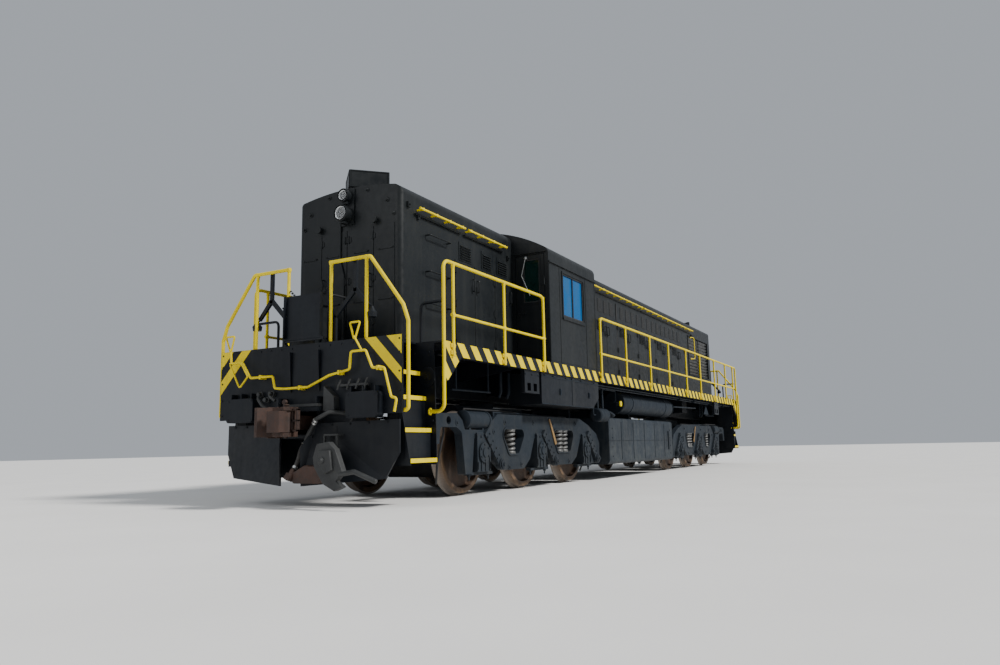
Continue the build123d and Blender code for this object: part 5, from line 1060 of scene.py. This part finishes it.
def cab_end_details(seals, iron, wall):
    """Seal, frame and wiper of the fixed window in an end wall, and the rain strips."""
    for y, z in border(END_WINDOW_Y, END_WINDOW_Z, -0.020):
        wall.box(seals, (-0.014, -0.002), y, z)
    for y, z in border(END_WINDOW_Y, END_WINDOW_Z, 0.024):
        wall.box(iron, (0.0, 0.010), y, z)
    middle = sum(END_WINDOW_Y) / 2
    head = END_WINDOW_Z[1]
    # The wiper leans to the left side on both walls
    tip = middle + wall.side * 0.10
    wall.box(iron, (0.0, 0.035), about(middle, 0.03), (head + 0.03, head + 0.08))
    iron.rod(wall.at(0.025, middle, head + 0.04), wall.at(0.022, tip, head - 0.28), 0.005, 8)
    wall.box(iron, (0.010, 0.020), about(tip, 0.008), (head - 0.50, head - 0.16))
    for y in RAIN_STRIPS:
        wall.box(iron, (0.0, 0.030), y, (RAIL_TOP + 3.400, RAIL_TOP + 3.412))


def cab_details():
    """Window frames, seals, wipers and bolts outside, then the hatch, the antenna and the lifting eyes."""
    seals = Shape()
    iron = Shape()
    for wall in LEFT_AND_RIGHT:
        cab_side_details(seals, iron, wall)
    for wall in CAB_WALLS.values():
        cab_end_details(seals, iron, wall)
    iron.box((3.45, 4.15), (-0.40, 0.40), (CAB_CROWN - 0.03, CAB_CROWN + 0.012))
    foot = roof_height(ANTENNA[1])
    iron.lathe((*ANTENNA, foot - 0.01), UP, [(0.0, 0.040), (0.030, 0.036), (0.045, 0.010)], 16)
    iron.rod((*ANTENNA, foot), (*ANTENNA, 4.056), 0.004, 6)
    for x in (3.0, 4.6):
        for y in (-0.9, 0.9):
            iron.rod((x, y, 3.62), (x, y, 3.70), 0.014, 8)
    seals.piece("window_seals", "seal_rubber", "carbody", smooth=False)
    iron.piece("cab_fittings_outside", "body_paint", "carbody")


def cab_inside_details():
    """Cushions and arm rests of the two seats, and the gauges and levers of the desk."""
    seats = Shape()
    cushion = [(x, DECK_TOP + height) for x, height in CUSHION]
    for seat in (-1.0, 1.0):
        seats.prism(cushion, seat - 0.17, seat + 0.17, "y")
        seats.box((3.545, 3.60), about(seat, 0.165), (DECK_TOP + 0.58, DECK_TOP + 0.90))
        for y in about(seat, 0.20):
            seats.box((3.60, 3.86), about(y, 0.018), (DECK_TOP + 0.70, DECK_TOP + 0.73))
            seats.rod((3.62, y, DECK_TOP + 0.50), (3.62, y, DECK_TOP + 0.71), 0.012, 8)
    seats.piece("seat_cushions", "seal_rubber", "carbody", bevel=0.012)
    desk = Shape()
    for index, (y, height) in enumerate(GAUGES):
        z = DECK_TOP + height
        knob = (4.16, y + 0.02 * (index % 3), z - 0.10)
        gauge = [(-0.02, 0.045), (0.012, 0.045), (0.014, 0.038), (0.010, 0.036)]
        desk.lathe((4.30, y, z), (-1, 0, 0.35), gauge)
        desk.rod((4.27, y, z - 0.14), knob, 0.007, 8)
        desk.lathe(knob, (-1, 0, 0.3), [(0.0, 0.010), (0.010, 0.018), (0.030, 0.012)], 12)
    desk.piece("desk_controls", "machinery", "carbody")


def door_details():
    """Wipers, seals, kick plates, beads and handle plates of the two cab doors."""
    for name, wall in CAB_WALLS.items():
        seals = Shape()
        iron = Shape()
        wiper = Shape()
        for y, z in border(DOOR_WINDOW_Y, DOOR_WINDOW_Z, -0.018):
            wall.box(seals, (-0.014, -0.002), y, z)
        for y, z in border(DOOR_WINDOW_Y, DOOR_WINDOW_Z, 0.022):
            wall.box(iron, (0.0, 0.007), y, z)
        wall.box(iron, (0.0, 0.004), (0.90, 1.29), (DECK_TOP + 0.08, DECK_TOP + 0.33))
        wall.box(iron, (0.0, 0.006), (0.90, 1.29), (DECK_TOP + 0.50, DECK_TOP + 0.53))
        for y in (0.92, 1.10, 1.27):
            for z in (0.10, 0.31):
                iron.bolt(wall.at(0.004, y, DECK_TOP + z), wall.ahead, 0.007, 0.004)
        wall.box(iron, (0.0, 0.012), (0.885, 0.945), (RAIL_TOP + 2.43, RAIL_TOP + 2.57))
        arm_head = wall.at(0.026, 0.970, 3.100)
        wiper.rod(arm_head, wall.at(0.022, 1.100, 2.790), 0.0065, 8)
        motor = [(0.0, 0.024), (0.028, 0.022), (0.036, 0.012)]
        wiper.lathe(wall.at(0.0, 1.040, 3.362), wall.ahead, motor, 16)
        wiper.rod(wall.at(0.026, 1.040, 3.362), arm_head, 0.005, 8)
        wiper.piece(f"door_wiper_{name}", "clamp_steel", f"cab_door_{name}")
        seals.piece(f"door_seal_{name}", "seal_rubber", f"cab_door_{name}", smooth=False)
        iron.piece(f"door_fittings_{name}", "body_paint", f"cab_door_{name}")


# Handrails: their posts, and where their tubes run
POSTS = [5.020, 6.170, 7.380, 2.840, 1.600, 0.200, -1.050, -2.410, -3.650, -5.070, -6.320, -7.240]
RAIL_Y = SILL_FACE + 0.0193
RAIL_MID = RAIL_TOP + 2.058
RAIL_TOP_TUBE = RAIL_TOP + 2.656
FOOT_FACE = SILL_FACE + 0.0185
UPRIGHT_SLEEVE = [(0.0, 0.0215), (0.006, 0.0229), (0.054, 0.0229), (0.060, 0.0215)]
LEVEL_SLEEVE = [(0.0, 0.020), (0.005, 0.0228), (0.055, 0.0228), (0.060, 0.020)]
TOP_SLEEVE = [(0.0, 0.0205), (0.006, 0.0229), (0.045, 0.0229)]
# Rails on the roof, each row: X low, X high, height above the rail
ROOF_RAILS = [(5.030, 6.090, 3.450), (6.190, 7.220, 3.450), (-5.340, -1.300, 3.500), (-1.200, 2.700, 3.500)]
ROOF_RAIL_END = [(0.0, 0.010), (0.004, 0.018), (0.012, 0.018), (0.016, 0.010)]
ROOF_RAIL_COLLAR = [(0.0, 0.012), (0.004, 0.019), (0.030, 0.019), (0.034, 0.012)]


def post_details(shape, wall, x):
    """Bolted foot plates of one post, and the sleeves where the rails cross it."""
    for z in (DECK_TOP - 0.125, DECK_TOP - 0.045):
        wall.box(shape, about(x, 0.045), (SILL_FACE, FOOT_FACE), about(z, 0.022))
        for bolt in about(x, 0.033):
            shape.bolt(wall.at(bolt, FOOT_FACE, z), wall.out, 0.009, 0.008)
    shape.lathe(wall.at(x, RAIL_Y, RAIL_MID - 0.030), UP, UPRIGHT_SLEEVE, 16)
    shape.lathe(wall.at(x - 0.030, RAIL_Y, RAIL_MID), AHEAD, LEVEL_SLEEVE, 16)
    shape.lathe(wall.at(x, RAIL_Y, RAIL_TOP_TUBE - 0.050), UP, TOP_SLEEVE, 16)


def rail_details():
    """Foot plates, sleeves, eye plates and collars in the handrails' yellow."""
    shape = Shape()
    for wall in LEFT_AND_RIGHT:
        for x in POSTS:
            post_details(shape, wall, x)
        # Upright grab rail on the long hood, near its end
        points = wall.route((-5.38, 0.802, 3.370), (-5.50, 0.870, 3.370), (-5.50, 0.870, 2.800),
                            (-5.38, 0.802, 2.800))
        shape.pipe(points, 0.013, 0.06, 10)
        for z in (3.370, 2.800):
            flange = [(0.0, 0.026), (0.008, 0.026), (0.010, 0.016)]
            shape.lathe(wall.at(-5.38, HOOD_HALF, z), wall.out, flange, 16)
        for low, high, height in ROOF_RAILS:
            z = RAIL_TOP + height
            for x in (low, high):
                shape.lathe(wall.at(x - 0.008, 0.890, z), AHEAD, ROOF_RAIL_END, 16)
            for x in spread(low + 0.06, high - 0.06, round((high - low) / 0.400) + 1):
                shape.lathe(wall.at(x, 0.872, z), wall.out, ROOF_RAIL_COLLAR, 12)
    for corner in CORNERS:
        # Eye plates where the grab rails meet the steps, then flanges and sleeves of the platform posts
        eye = [(-0.004, 0.040), (0.006, 0.040), (0.010, 0.030)]
        shape.lathe(corner.at(7.583, 1.262, 0.998), corner.out, eye, 20)
        for y in (0.320, 0.820):
            flange = [(0.0, 0.021), (0.002, 0.021), (0.004, 0.021)]
            shape.lathe(corner.at(8.1487, y, DECK_TOP), UP, flange, 12)
            sleeve = [(0.0, 0.021), (0.005, 0.0245), (0.050, 0.0245)]
            shape.lathe(corner.at(8.1487, y, 2.655), UP, sleeve, 16)
    shape.piece("rail_fittings", "safety_yellow", "carbody")


# What hangs on the end sheets. The rear end is the front end turned half round.
PAD_FACE = 8.310
PAD_Y = 0.890
PAD_HEIGHT = 1.067
# Bolts down the end sheet's edge and along its top, each row: distance from the middle, height
EDGE_BOLTS = [
    (1.300, 1.02), (1.300, 1.20), (1.300, 1.40), (1.300, 1.60), (1.300, 1.74),
    (0.20, 1.745), (0.36, 1.745), (0.52, 1.745), (0.68, 1.745),
]
BRACKET_X = (8.085, 8.115)
# Bracket behind an end rail: its bar, its two arms and its post, as outlines across the locomotive
BRACKET = [
    rectangle((0.608, 0.652), (2.330, 2.690)),
    [(0.608, 2.345), (0.650, 2.375), (0.835, 2.160), (0.805, 2.130)],
    [(0.652, 2.345), (0.610, 2.375), (0.330, 2.085), (0.360, 2.055)],
    rectangle((0.330, 0.365), (DECK_TOP, 2.085)),
]
BRACKET_CUP = [(0.0, 0.050), (0.05, 0.058), (0.085, 0.030), (0.12, 0.014)]
# Sockets on the end sheet, each row: place, height. Then the turned form that they share.
SOCKETS = [(-0.64, 1.245), (-0.54, 1.180), (-0.46, 1.245)]
SOCKET = [(0.0, 0.034), (0.030, 0.034), (0.034, 0.024), (0.070, 0.026), (0.078, 0.018)]
HOOK_PLACES = (0.55, 0.68, 0.80, 0.91)
HANGING_PLATE = [(0.36, 1.288), (0.50, 1.168), (0.51, 1.008), (0.35, 1.018)]
# Train pipe, from the end sheet down to the angle cock
TRAIN_PIPE = [
    (8.205, 0.60, 0.985), (8.350, 0.50, 1.005), (8.375, 0.34, 0.930), (8.350, 0.22, 0.790),
    (8.290, 0.12, 0.718), (8.235, 0.092, 0.692),
]
PIPE_CLAMP = [(0.0, 0.024), (0.0, 0.029), (0.020, 0.029), (0.020, 0.024)]
# Bolts along the pilot's top, measured out from its fold
PILOT_BOLTS = (0.19, 0.41, 0.63, 0.85)
KNEE_BRACE = [(8.200, 1.25), (8.200, 1.70), (8.245, 1.70), (8.215, 1.25)]
CHAIN_LINKS = 22
CHAIN_HALF = 0.30
CHAIN_HEIGHT = 2.44
CHAIN_SAG = 0.16


def end_corner_details(iron, corner):
    """One half of an end: pad, edge bolts, bracket behind the end rail, bent rail and pilot bolts."""
    for y in about(PAD_Y, 0.180):
        for z in about(PAD_HEIGHT, 0.110):
            iron.bolt(corner.at(PAD_FACE, y, z), corner.ahead, 0.016, 0.004)
    for gusset in (PAD_Y - 0.160, PAD_Y, PAD_Y + 0.160):
        corner.box(iron, (END_SHEET, 8.290), about(gusset, 0.008), (1.200, 1.262))
    for y, z in EDGE_BOLTS:
        iron.bolt(corner.at(END_SHEET, y, z), corner.ahead, 0.011, 0.008)
    for outline in BRACKET:
        corner.plate_across(iron, outline, BRACKET_X)
    iron.lathe(corner.at(8.10, 0.86, 2.02), UP, BRACKET_CUP, 16)
    iron.rod(corner.at(8.10, 0.80, 2.15), corner.at(8.10, 0.86, 2.12), 0.010, 8)
    bent_rail = corner.route((7.52, 1.10, DECK_TOP), (7.52, 1.10, 2.235), (7.52, 1.42, 2.235))
    iron.pipe(bent_rail, 0.017, 0.07, 12)
    for out in PILOT_BOLTS:
        place = corner.at(8.282 - out * 0.1515, 0.26 + out, RAIL_TOP + 0.840 + out * 0.020)
        iron.bolt(place, corner.ahead)


def end_hose_details(dark, clamps, half):
    """Sockets, short hoses, hooks and the train pipe on one end sheet."""
    for y, z in SOCKETS:
        dark.lathe(half.at(END_SHEET, y, z), half.ahead, SOCKET, 16)
    dark.pipe(half.route((8.255, -0.64, 1.245), (8.285, -0.62, 1.190), (8.285, -0.56, 1.120),
                         (8.250, -0.50, 1.075)), 0.019, 0.05, 10)
    short_hose = half.route((8.255, -0.46, 1.245), (8.290, -0.44, 1.215), (8.280, -0.36, 1.160))
    dark.pipe(short_hose, 0.017, 0.04, 10)
    # Strip with its hooks, a hanging plate, and a small shelf with two legs
    half.box(dark, (END_SHEET, 8.262), (0.52, 0.93), (1.272, 1.296))
    for y in HOOK_PLACES:
        dark.pipe(half.route((8.235, y, 1.345), (8.262, y, 1.300), (8.268, y - 0.02, 1.235)), 0.012, 0.03)
    half.plate_across(dark, HANGING_PLATE, (END_SHEET, 8.29))
    half.box(dark, (8.250, 8.360), (0.43, 0.61), (0.752, 0.770))
    for y in (0.43, 0.595):
        half.box(dark, (8.330, 8.360), (y, y + 0.015), (0.650, 0.755))
    # Train pipe, with two bright clamps on its long fall
    train = half.route(*TRAIN_PIPE)
    dark.pipe(train, 0.023, 0.07, 14)
    start = Vector(train[2])
    finish = Vector(train[3])
    for share in (0.05, 0.22):
        clamps.lathe(start.lerp(finish, share), finish - start, PIPE_CLAMP, 20)
    # Shelf over the coupler's shank
    half.box(dark, (END_SHEET, 8.370), (-0.15, 0.34), (1.072, 1.100))


def end_plate_details(iron, half):
    """Dark cross plate between the pilots that is painted shade, coupler carrier, knee braces and the
    platform box's trim at one end.
    """
    # Painted shade: a dark plate that stands in for the shadowed space between the pilots
    half.box(iron, (8.020, 8.036), (-0.52, 0.52), (0.300, 0.740))
    # Carrier over and under the coupler's shank, with its two bolted ears
    half.box(iron, (END_SHEET, 8.360), (-0.30, 0.34), (1.020, 1.070))
    half.box(iron, (END_SHEET, 8.330), (-0.24, 0.24), (0.735, 0.765))
    for y in (-0.26, 0.30):
        half.box(iron, (END_SHEET, 8.345), about(y, 0.012), (1.070, 1.180))
        iron.bolt(half.at(8.32, y, 1.120), LEFT, 0.012, 0.020)
    for y in (-0.20, 0.22):
        Part(half.end, 1.0).plate_along(iron, KNEE_BRACE, about(y, 0.010))
    # Platform box: lid, two hinges, and the strip along its foot
    half.box(iron, (7.752, 7.968), (-0.598, -0.072), (DECK_TOP + 0.496, DECK_TOP + 0.512))
    for y in (-0.50, -0.17):
        half.box(iron, (7.960, 7.968), about(y, 0.03), (DECK_TOP + 0.40, DECK_TOP + 0.50))
    half.box(iron, (7.960, 7.966), (-0.585, -0.085), (DECK_TOP + 0.010, DECK_TOP + 0.035))


def chain(shape, half):
    """Chain between the inner posts of an end rail."""
    for index in range(CHAIN_LINKS):
        along = 2 * (index + 0.5) / CHAIN_LINKS - 1
        z = CHAIN_HEIGHT - CHAIN_SAG * (1 - along ** 2)
        link = [(0.0, 0.006), (0.014, 0.010 + 0.004 * (index % 2)), (0.028, 0.006)]
        shape.lathe(half.at(8.149, CHAIN_HALF * along - 0.014, z), LEFT, link, 8)


def end_details():
    iron = Shape()
    pipes = Shape()
    dark = Shape()
    clamps = Shape()
    yellow = Shape()
    for corner in CORNERS:
        end_corner_details(iron, corner)
    for end in BOTH:
        half = Part(end, end)
        end_hose_details(dark, clamps, half)
        end_plate_details(iron, half)
        # Lower loop of the uncoupling lever's handle
        x = 8.288
        yellow.pipe(half.route((x, -1.09, 1.628), (x, -0.91, 1.628), (x, -0.79, 1.458), (x, -0.92, 1.330),
                               (x, -1.085, 1.610)), 0.011, 0.03)
        # Cable of the platform box, and the chain
        low = DECK_TOP + 0.10
        high = DECK_TOP + 0.62
        pipes.pipe(half.route((7.86, -0.09, low), (7.86, 0.06, low), (7.86, 0.06, high), (7.56, 0.06, high)),
                   0.013, 0.06)
        chain(pipes, half)
    iron.piece("end_fittings", "frame_paint", "carbody")
    pipes.piece("end_pipes", "machinery", "carbody")
    dark.piece("end_hoses", "cast_dark", "carbody")
    clamps.piece("pipe_clamps", "clamp_steel", "carbody")
    yellow.piece("lever_handles", "safety_yellow", "carbody")


# Casting that lies before the left pilot plate at the front, and its shoe: outlines across the locomotive
SHOE = [(-0.01, 0.338), (0.23, 0.448), (0.39, 0.438), (0.47, 0.40), (0.47, 0.30), (0.41, 0.258),
        (0.08, 0.258)]
CASTING = [
    (0.46, 0.668), (0.41, 0.528), (0.43, 0.428), (0.55, 0.258), (0.70, 0.188), (0.81, 0.228), (0.72, 0.290),
    (0.81, 0.378), (0.71, 0.608), (0.62, 0.688),
]
CASTING_RAISED = [(0.52, 0.60), (0.50, 0.48), (0.60, 0.36), (0.69, 0.40), (0.66, 0.60)]


def hook_details():
    """Grey pointed casting with its bent handle, and the rusty shoe beside it."""
    shoe = Shape()
    shoe.prism(SHOE, 8.300, 8.432, "x")
    shoe.piece("hook_shoe", "cast_rust", "carbody", bevel=0.010)
    casting = Shape()
    casting.prism(CASTING, 8.425, 8.500, "x")
    casting.prism(CASTING_RAISED, 8.500, 8.530, "x")
    pin = [(0.0, 0.034), (0.014, 0.034), (0.016, 0.020), (0.030, 0.018)]
    casting.lathe((8.53, 0.56, 0.500), AHEAD, pin, 20)
    casting.pipe([(8.47, 0.72, 0.350), (8.52, 0.98, 0.385), (8.50, 1.24, 0.285)], 0.026, 0.06, 14)
    casting.box((8.36, 8.43), (0.50, 0.66), (0.52, 0.62))
    casting.piece("hook_casting", "cast_dark", "carbody", bevel=0.008)


HEAD_TOP = 1.059
HEAD_FOOT = 0.749
RIB = 0.010
HOSE_CLAMP = [(0.0, 0.0225), (0.0, 0.0265), (0.026, 0.0265), (0.026, 0.0225)]


def coupler_details():
    """Ribs, pin boss, lock lift and slotted side plate of both couplers, and the hose clamps."""
    for end, sign in ENDS:
        half = Part(sign, sign)
        shape = Shape()
        for z in ((HEAD_TOP, HEAD_TOP + RIB), (HEAD_FOOT - RIB, HEAD_FOOT)):
            half.box(shape, (8.45, 8.60), (-0.150, -0.130), z)
            half.box(shape, (8.47, 8.56), (-0.060, -0.040), z)
        # Rib on the guard arm's face, then the boss over the knuckle's pin
        half.box(shape, (8.735, 8.7395), (-0.185, -0.165), (0.80, 1.01))
        boss = [(0.0, 0.032), (0.010, 0.032), (0.014, 0.022)]
        shape.lathe(half.at(8.610, 0.140, HEAD_TOP + 0.015), UP, boss, 20)
        # Lock lift with its eye
        shape.rod(half.at(8.515, 0.02, HEAD_TOP), half.at(8.515, 0.02, HEAD_TOP + 0.055), 0.013)
        shape.lathe(half.at(8.500, 0.02, HEAD_TOP + 0.060), AHEAD, [(0.0, 0.028), (0.030, 0.028)], 16)
        # Slotted plate at the side of the head: a frame with a bar between its two square holes
        for y in ((0.200, 0.216), (0.268, 0.286)):
            half.box(shape, (8.560, 8.600), y, (0.800, 1.040))
        for z in ((0.800, 0.822), (0.905, 0.925), (1.018, 1.040)):
            half.box(shape, (8.560, 8.600), (0.200, 0.286), z)
        shape.piece(f"coupler_fittings_{end}", "cast_rust", f"coupler_{end}", bevel=0.004)
        clamps = Shape()
        for index in (1, 6):
            start = Vector(HOSE_POINTS[index])
            run = (Vector(HOSE_POINTS[index + 1]) - start).normalized()
            clamps.lathe(half.at(*(start + run * 0.012)), half.at(*run), HOSE_CLAMP)
        clamps.piece(f"hose_clamps_{end}", "clamp_steel", "carbody")


# Between the trucks: tank, reservoirs and battery boxes
TANK_FACE = 1.226
TANK_SEAMS = (-1.795, -1.20, -0.55, 0.10, 0.75, 1.40, 2.040)
RESERVOIR_Y = 1.040
RESERVOIR_HEIGHT = 1.363
SMALL_RESERVOIR_Y = 1.200
SMALL_RESERVOIR_HEIGHT = 1.098
BATTERY_FACE = 1.394
BATTERY_HINGES = (3.05, 3.60, 3.94, 4.16, 4.60, 4.90)
# Pipes along the sills, each row: distance from the middle, height, X low, X high
SILL_PIPES = [(1.300, 1.590, -7.3, 2.80), (1.255, 1.560, -6.6, 2.60)]
TRIANGLE = [(-5.02, 1.30), (-4.55, 1.30), (-4.78, 1.52)]


def tank_side_details(iron, wall):
    """Seams, filler, sight glass, drain and bolts of the fuel tank on one side."""
    for x in TANK_SEAMS:
        wall.box(iron, about(x, 0.004), (TANK_FACE - 0.008, TANK_FACE), (0.33, 1.00))
    wall.box(iron, (-1.80, 2.05), (TANK_FACE - 0.010, TANK_FACE), (0.665, 0.673))
    filler = [(0.0, 0.060), (0.085, 0.060), (0.090, 0.072), (0.115, 0.072), (0.120, 0.060)]
    iron.lathe(wall.at(1.70, 1.10, 1.060), (0, wall.side * 0.6, 0.8), filler)
    wall.box(iron, (-1.55, -1.47), (1.218, 1.238), (0.48, 0.86))
    drain = [(0.0, 0.040), (0.020, 0.040), (0.022, 0.025), (0.040, 0.025)]
    iron.lathe(wall.at(0.12, 1.10, 0.263), DOWN, drain, 16)
    for x in (-1.62, 1.86):
        for z in (0.40, 0.56, 0.72, 0.88):
            iron.bolt(wall.at(x, 1.219, z), wall.out, 0.012, 0.010)


def weld_bead(iron, middle, radius, rise, half, sides):
    """Low round bead about a reservoir that lies along X."""
    x, y, z = middle
    rows = [(0.0, radius), (0.003, radius + rise), (2 * half - 0.003, radius + rise), (2 * half, radius)]
    iron.lathe((x - half, y, z), AHEAD, rows, sides)


def reservoir_details(iron, yellow, wall):
    """Weld beads and pipes of the two reservoirs, and the yellow valve wheel."""
    y = RESERVOIR_Y
    z = RESERVOIR_HEIGHT
    for x in (-1.93, 1.23):
        weld_bead(iron, wall.at(x, y, z), 0.199, 0.004, 0.006, 40)
    feed = [(1.30, y, z), (1.42, y, z), (1.42, 1.14, z), (1.42, 1.14, 1.560), (2.70, 1.14, 1.560)]
    iron.pipe(wall.route(*feed), 0.014)
    iron.pipe(wall.route((-2.00, y, z), (-2.16, y, z), (-2.16, 1.20, 1.400), (-3.95, 1.20, 1.430)), 0.016)
    iron.lathe(wall.at(1.38, 1.14, 1.330), wall.out, [(0.0, 0.030), (0.070, 0.030)], 14)
    wheel = [(0.0, 0.010), (0.0, 0.048), (0.022, 0.048), (0.022, 0.010)]
    yellow.lathe(wall.at(1.38, 1.212, 1.330), wall.out, wheel, 20)
    yellow.rod(wall.at(1.38, 1.205, 1.330), wall.at(1.38, 1.245, 1.330), 0.010, 10)
    y = SMALL_RESERVOIR_Y
    z = SMALL_RESERVOIR_HEIGHT
    for x in (2.17, 2.54):
        weld_bead(iron, wall.at(x, y, z), 0.112, 0.0045, 0.005, 28)
    iron.pipe(wall.route((2.55, y, z), (2.66, y, z), (2.66, y, 1.500)), 0.012, 0.04)


def battery_details(iron, wall):
    """Lid seam, hinges, hasps, upright seam and foot strip of the battery boxes on one side."""
    wall.box(iron, (2.885, 5.035), (BATTERY_FACE, BATTERY_FACE + 0.008), (1.560, 1.572))
    for x in BATTERY_HINGES:
        iron.rod(wall.at(x - 0.05, 1.401, 1.585), wall.at(x + 0.05, 1.401, 1.585), 0.009, 8)
    for x in (3.30, 4.40):
        wall.box(iron, about(x, 0.020), (BATTERY_FACE, BATTERY_FACE + 0.015), (1.330, 1.420))
        iron.rod(wall.at(x, 1.405, 1.350), wall.at(x, 1.405, 1.400), 0.010, 8)
    wall.box(iron, (3.955, 3.965), (BATTERY_FACE, BATTERY_FACE + 0.006), (1.190, 1.600))
    wall.box(iron, (3.12, 5.035), (BATTERY_FACE, BATTERY_FACE + 0.010), (1.180, 1.192))


def sill_details(iron, wall):
    """Pipes and hangers under one sill, the triangular plate, cables over the trucks, jack pads' bolts."""
    for y, z, low, high in SILL_PIPES:
        iron.rod(wall.at(low, y, z), wall.at(high, y, z), 0.015, 8)
    for x in (-6.4, -5.0, -3.4, -2.2):
        wall.box(iron, about(x, 0.015), (1.230, 1.335), (1.540, 1.620))
    wall.plate_along(iron, TRIANGLE, (1.245, 1.257))
    iron.rod(wall.at(-4.78, 1.25, 1.50), wall.at(-4.78, 1.25, 1.620), 0.012, 8)
    for x in (5.22, 5.45, -5.22, -5.45):
        iron.pipe(wall.route((x, 0.98, 1.62), (x, 0.98, 1.34), (x + 0.03, 0.96, 1.26)), 0.021, 0.10, 10)
    iron.rod(wall.at(5.75, 0.98, 1.318), wall.at(6.70, 0.98, 1.308), 0.014, 8)
    iron.rod(wall.at(-6.70, 0.98, 1.318), wall.at(-5.75, 0.98, 1.308), 0.014, 8)
    for x in (5.80, 6.60, -5.80, -6.60):
        iron.rod(wall.at(x, 0.98, 1.310), wall.at(x, 0.98, 1.762), 0.012, 8)
    for x in (5.125, 5.32, 5.515):
        for end in BOTH:
            iron.bolt(wall.at(end * x, 1.395, 1.560), wall.out, 0.012, 0.010)


def tank_details():
    iron = Shape()
    yellow = Shape()
    for wall in LEFT_AND_RIGHT:
        tank_side_details(iron, wall)
        reservoir_details(iron, yellow, wall)
        battery_details(iron, wall)
        sill_details(iron, wall)
    iron.piece("tank_fittings", "gear_paint", "carbody")
    yellow.piece("valve_wheels", "safety_yellow", "carbody")


# Blank number boards, set at 45 degrees in plan on both sides of a point at the hood's end
BOARD_APEX = 7.480
BOARD_SLANT = 0.7071
BOARD_RUN = (0.020, 0.480)
BOARD_LOW = RAIL_TOP + 3.829
BOARD_HIGH = RAIL_TOP + 4.021
BOARD_LIP = 0.014
# Shutter frames of the radiators, each row: X low and X high, height low and high
SHUTTER_BARS = [
    ((-7.190, -5.110), (3.378, 3.400)), ((-7.190, -5.110), (2.356, 2.378)),
    ((-7.190, -7.150), (2.378, 3.378)), ((-5.150, -5.110), (2.378, 3.378)),
    ((-6.170, -6.130), (2.378, 3.378)),
]
SHUTTER_FACE = HOOD_HALF + 0.014
SHUTTER_BOLTS = 15
BOLT_PITCH = 0.145
CORE_FINS = 40
FIN_PITCH = 0.049
STACK_BARS = (-1.20, -1.05, -0.90, -0.75, -0.60)
FAN_X = -6.15
FAN_RIM = 0.575
FAN_BOLTS = 16


def board_frame(iron, corner):
    """Thin frame round one blank number board."""
    for run, upright in border(BOARD_RUN, (BOARD_LOW, BOARD_HIGH), BOARD_LIP):
        outline = []
        for share, depth in rectangle(run, (-0.001, 0.006)):
            x = BOARD_APEX + BOARD_SLANT * (depth - share)
            outline.append((corner.end * x, corner.side * BOARD_SLANT * (depth + share)))
        iron.prism(outline, *upright, "z")


def radiator_details(iron, cores, wall):
    """Bolted frame of the shutters on one side, and the finned core behind them."""
    for x, z in SHUTTER_BARS:
        wall.box(iron, x, (HOOD_HALF, SHUTTER_FACE), z)
    for index in range(SHUTTER_BOLTS):
        for z in (2.367, 3.389):
            iron.bolt(wall.at(-7.17 + index * BOLT_PITCH, SHUTTER_FACE, z), wall.out, 0.009, 0.007)
    wall.box(cores, (-7.130, -5.170), (0.660, 0.700), (2.390, 3.366))
    for index in range(CORE_FINS):
        x = -7.110 + index * FIN_PITCH
        wall.box(cores, (x, x + 0.006), (0.698, 0.712), (2.395, 3.361))


def roof_details():
    """Board frames, bars over the stack, radiators, the horn's air pipe and the fan guard's bolts."""
    iron = Shape()
    cores = Shape()
    for corner in CORNERS:
        board_frame(iron, corner)
    for x in STACK_BARS:
        iron.box(about(x, 0.006), (-0.118, 0.118), (3.862, 3.874))
    for wall in LEFT_AND_RIGHT:
        radiator_details(iron, cores, wall)
    iron.pipe([(2.50, -0.35, 3.84), (2.62, -0.35, 3.84), (2.62, -0.35, 3.79)], 0.008, 0.03)
    for index in range(FAN_BOLTS):
        angle = 2 * pi * index / FAN_BOLTS
        y = FAN_RIM * sin(angle)
        iron.bolt((FAN_X + FAN_RIM * cos(angle), y, roof_height(y) + 0.004), UP, 0.010, 0.010)
    cores.piece("radiator_cores", "machinery", "carbody", smooth=False)
    iron.piece("roof_fittings", "body_paint", "carbody")


def main():
    make_camera()
    make_stage()
    make_lights()
    make_finishes()
    paint_nodes()
    make_hoses()
    sill_stripes()
    end_stripes()
    step_details()
    springs()
    truck_details()
    hood_details()
    lamp_details()
    cab_details()
    cab_inside_details()
    door_details()
    rail_details()
    end_details()
    hook_details()
    coupler_details()
    tank_details()
    roof_details()


main()
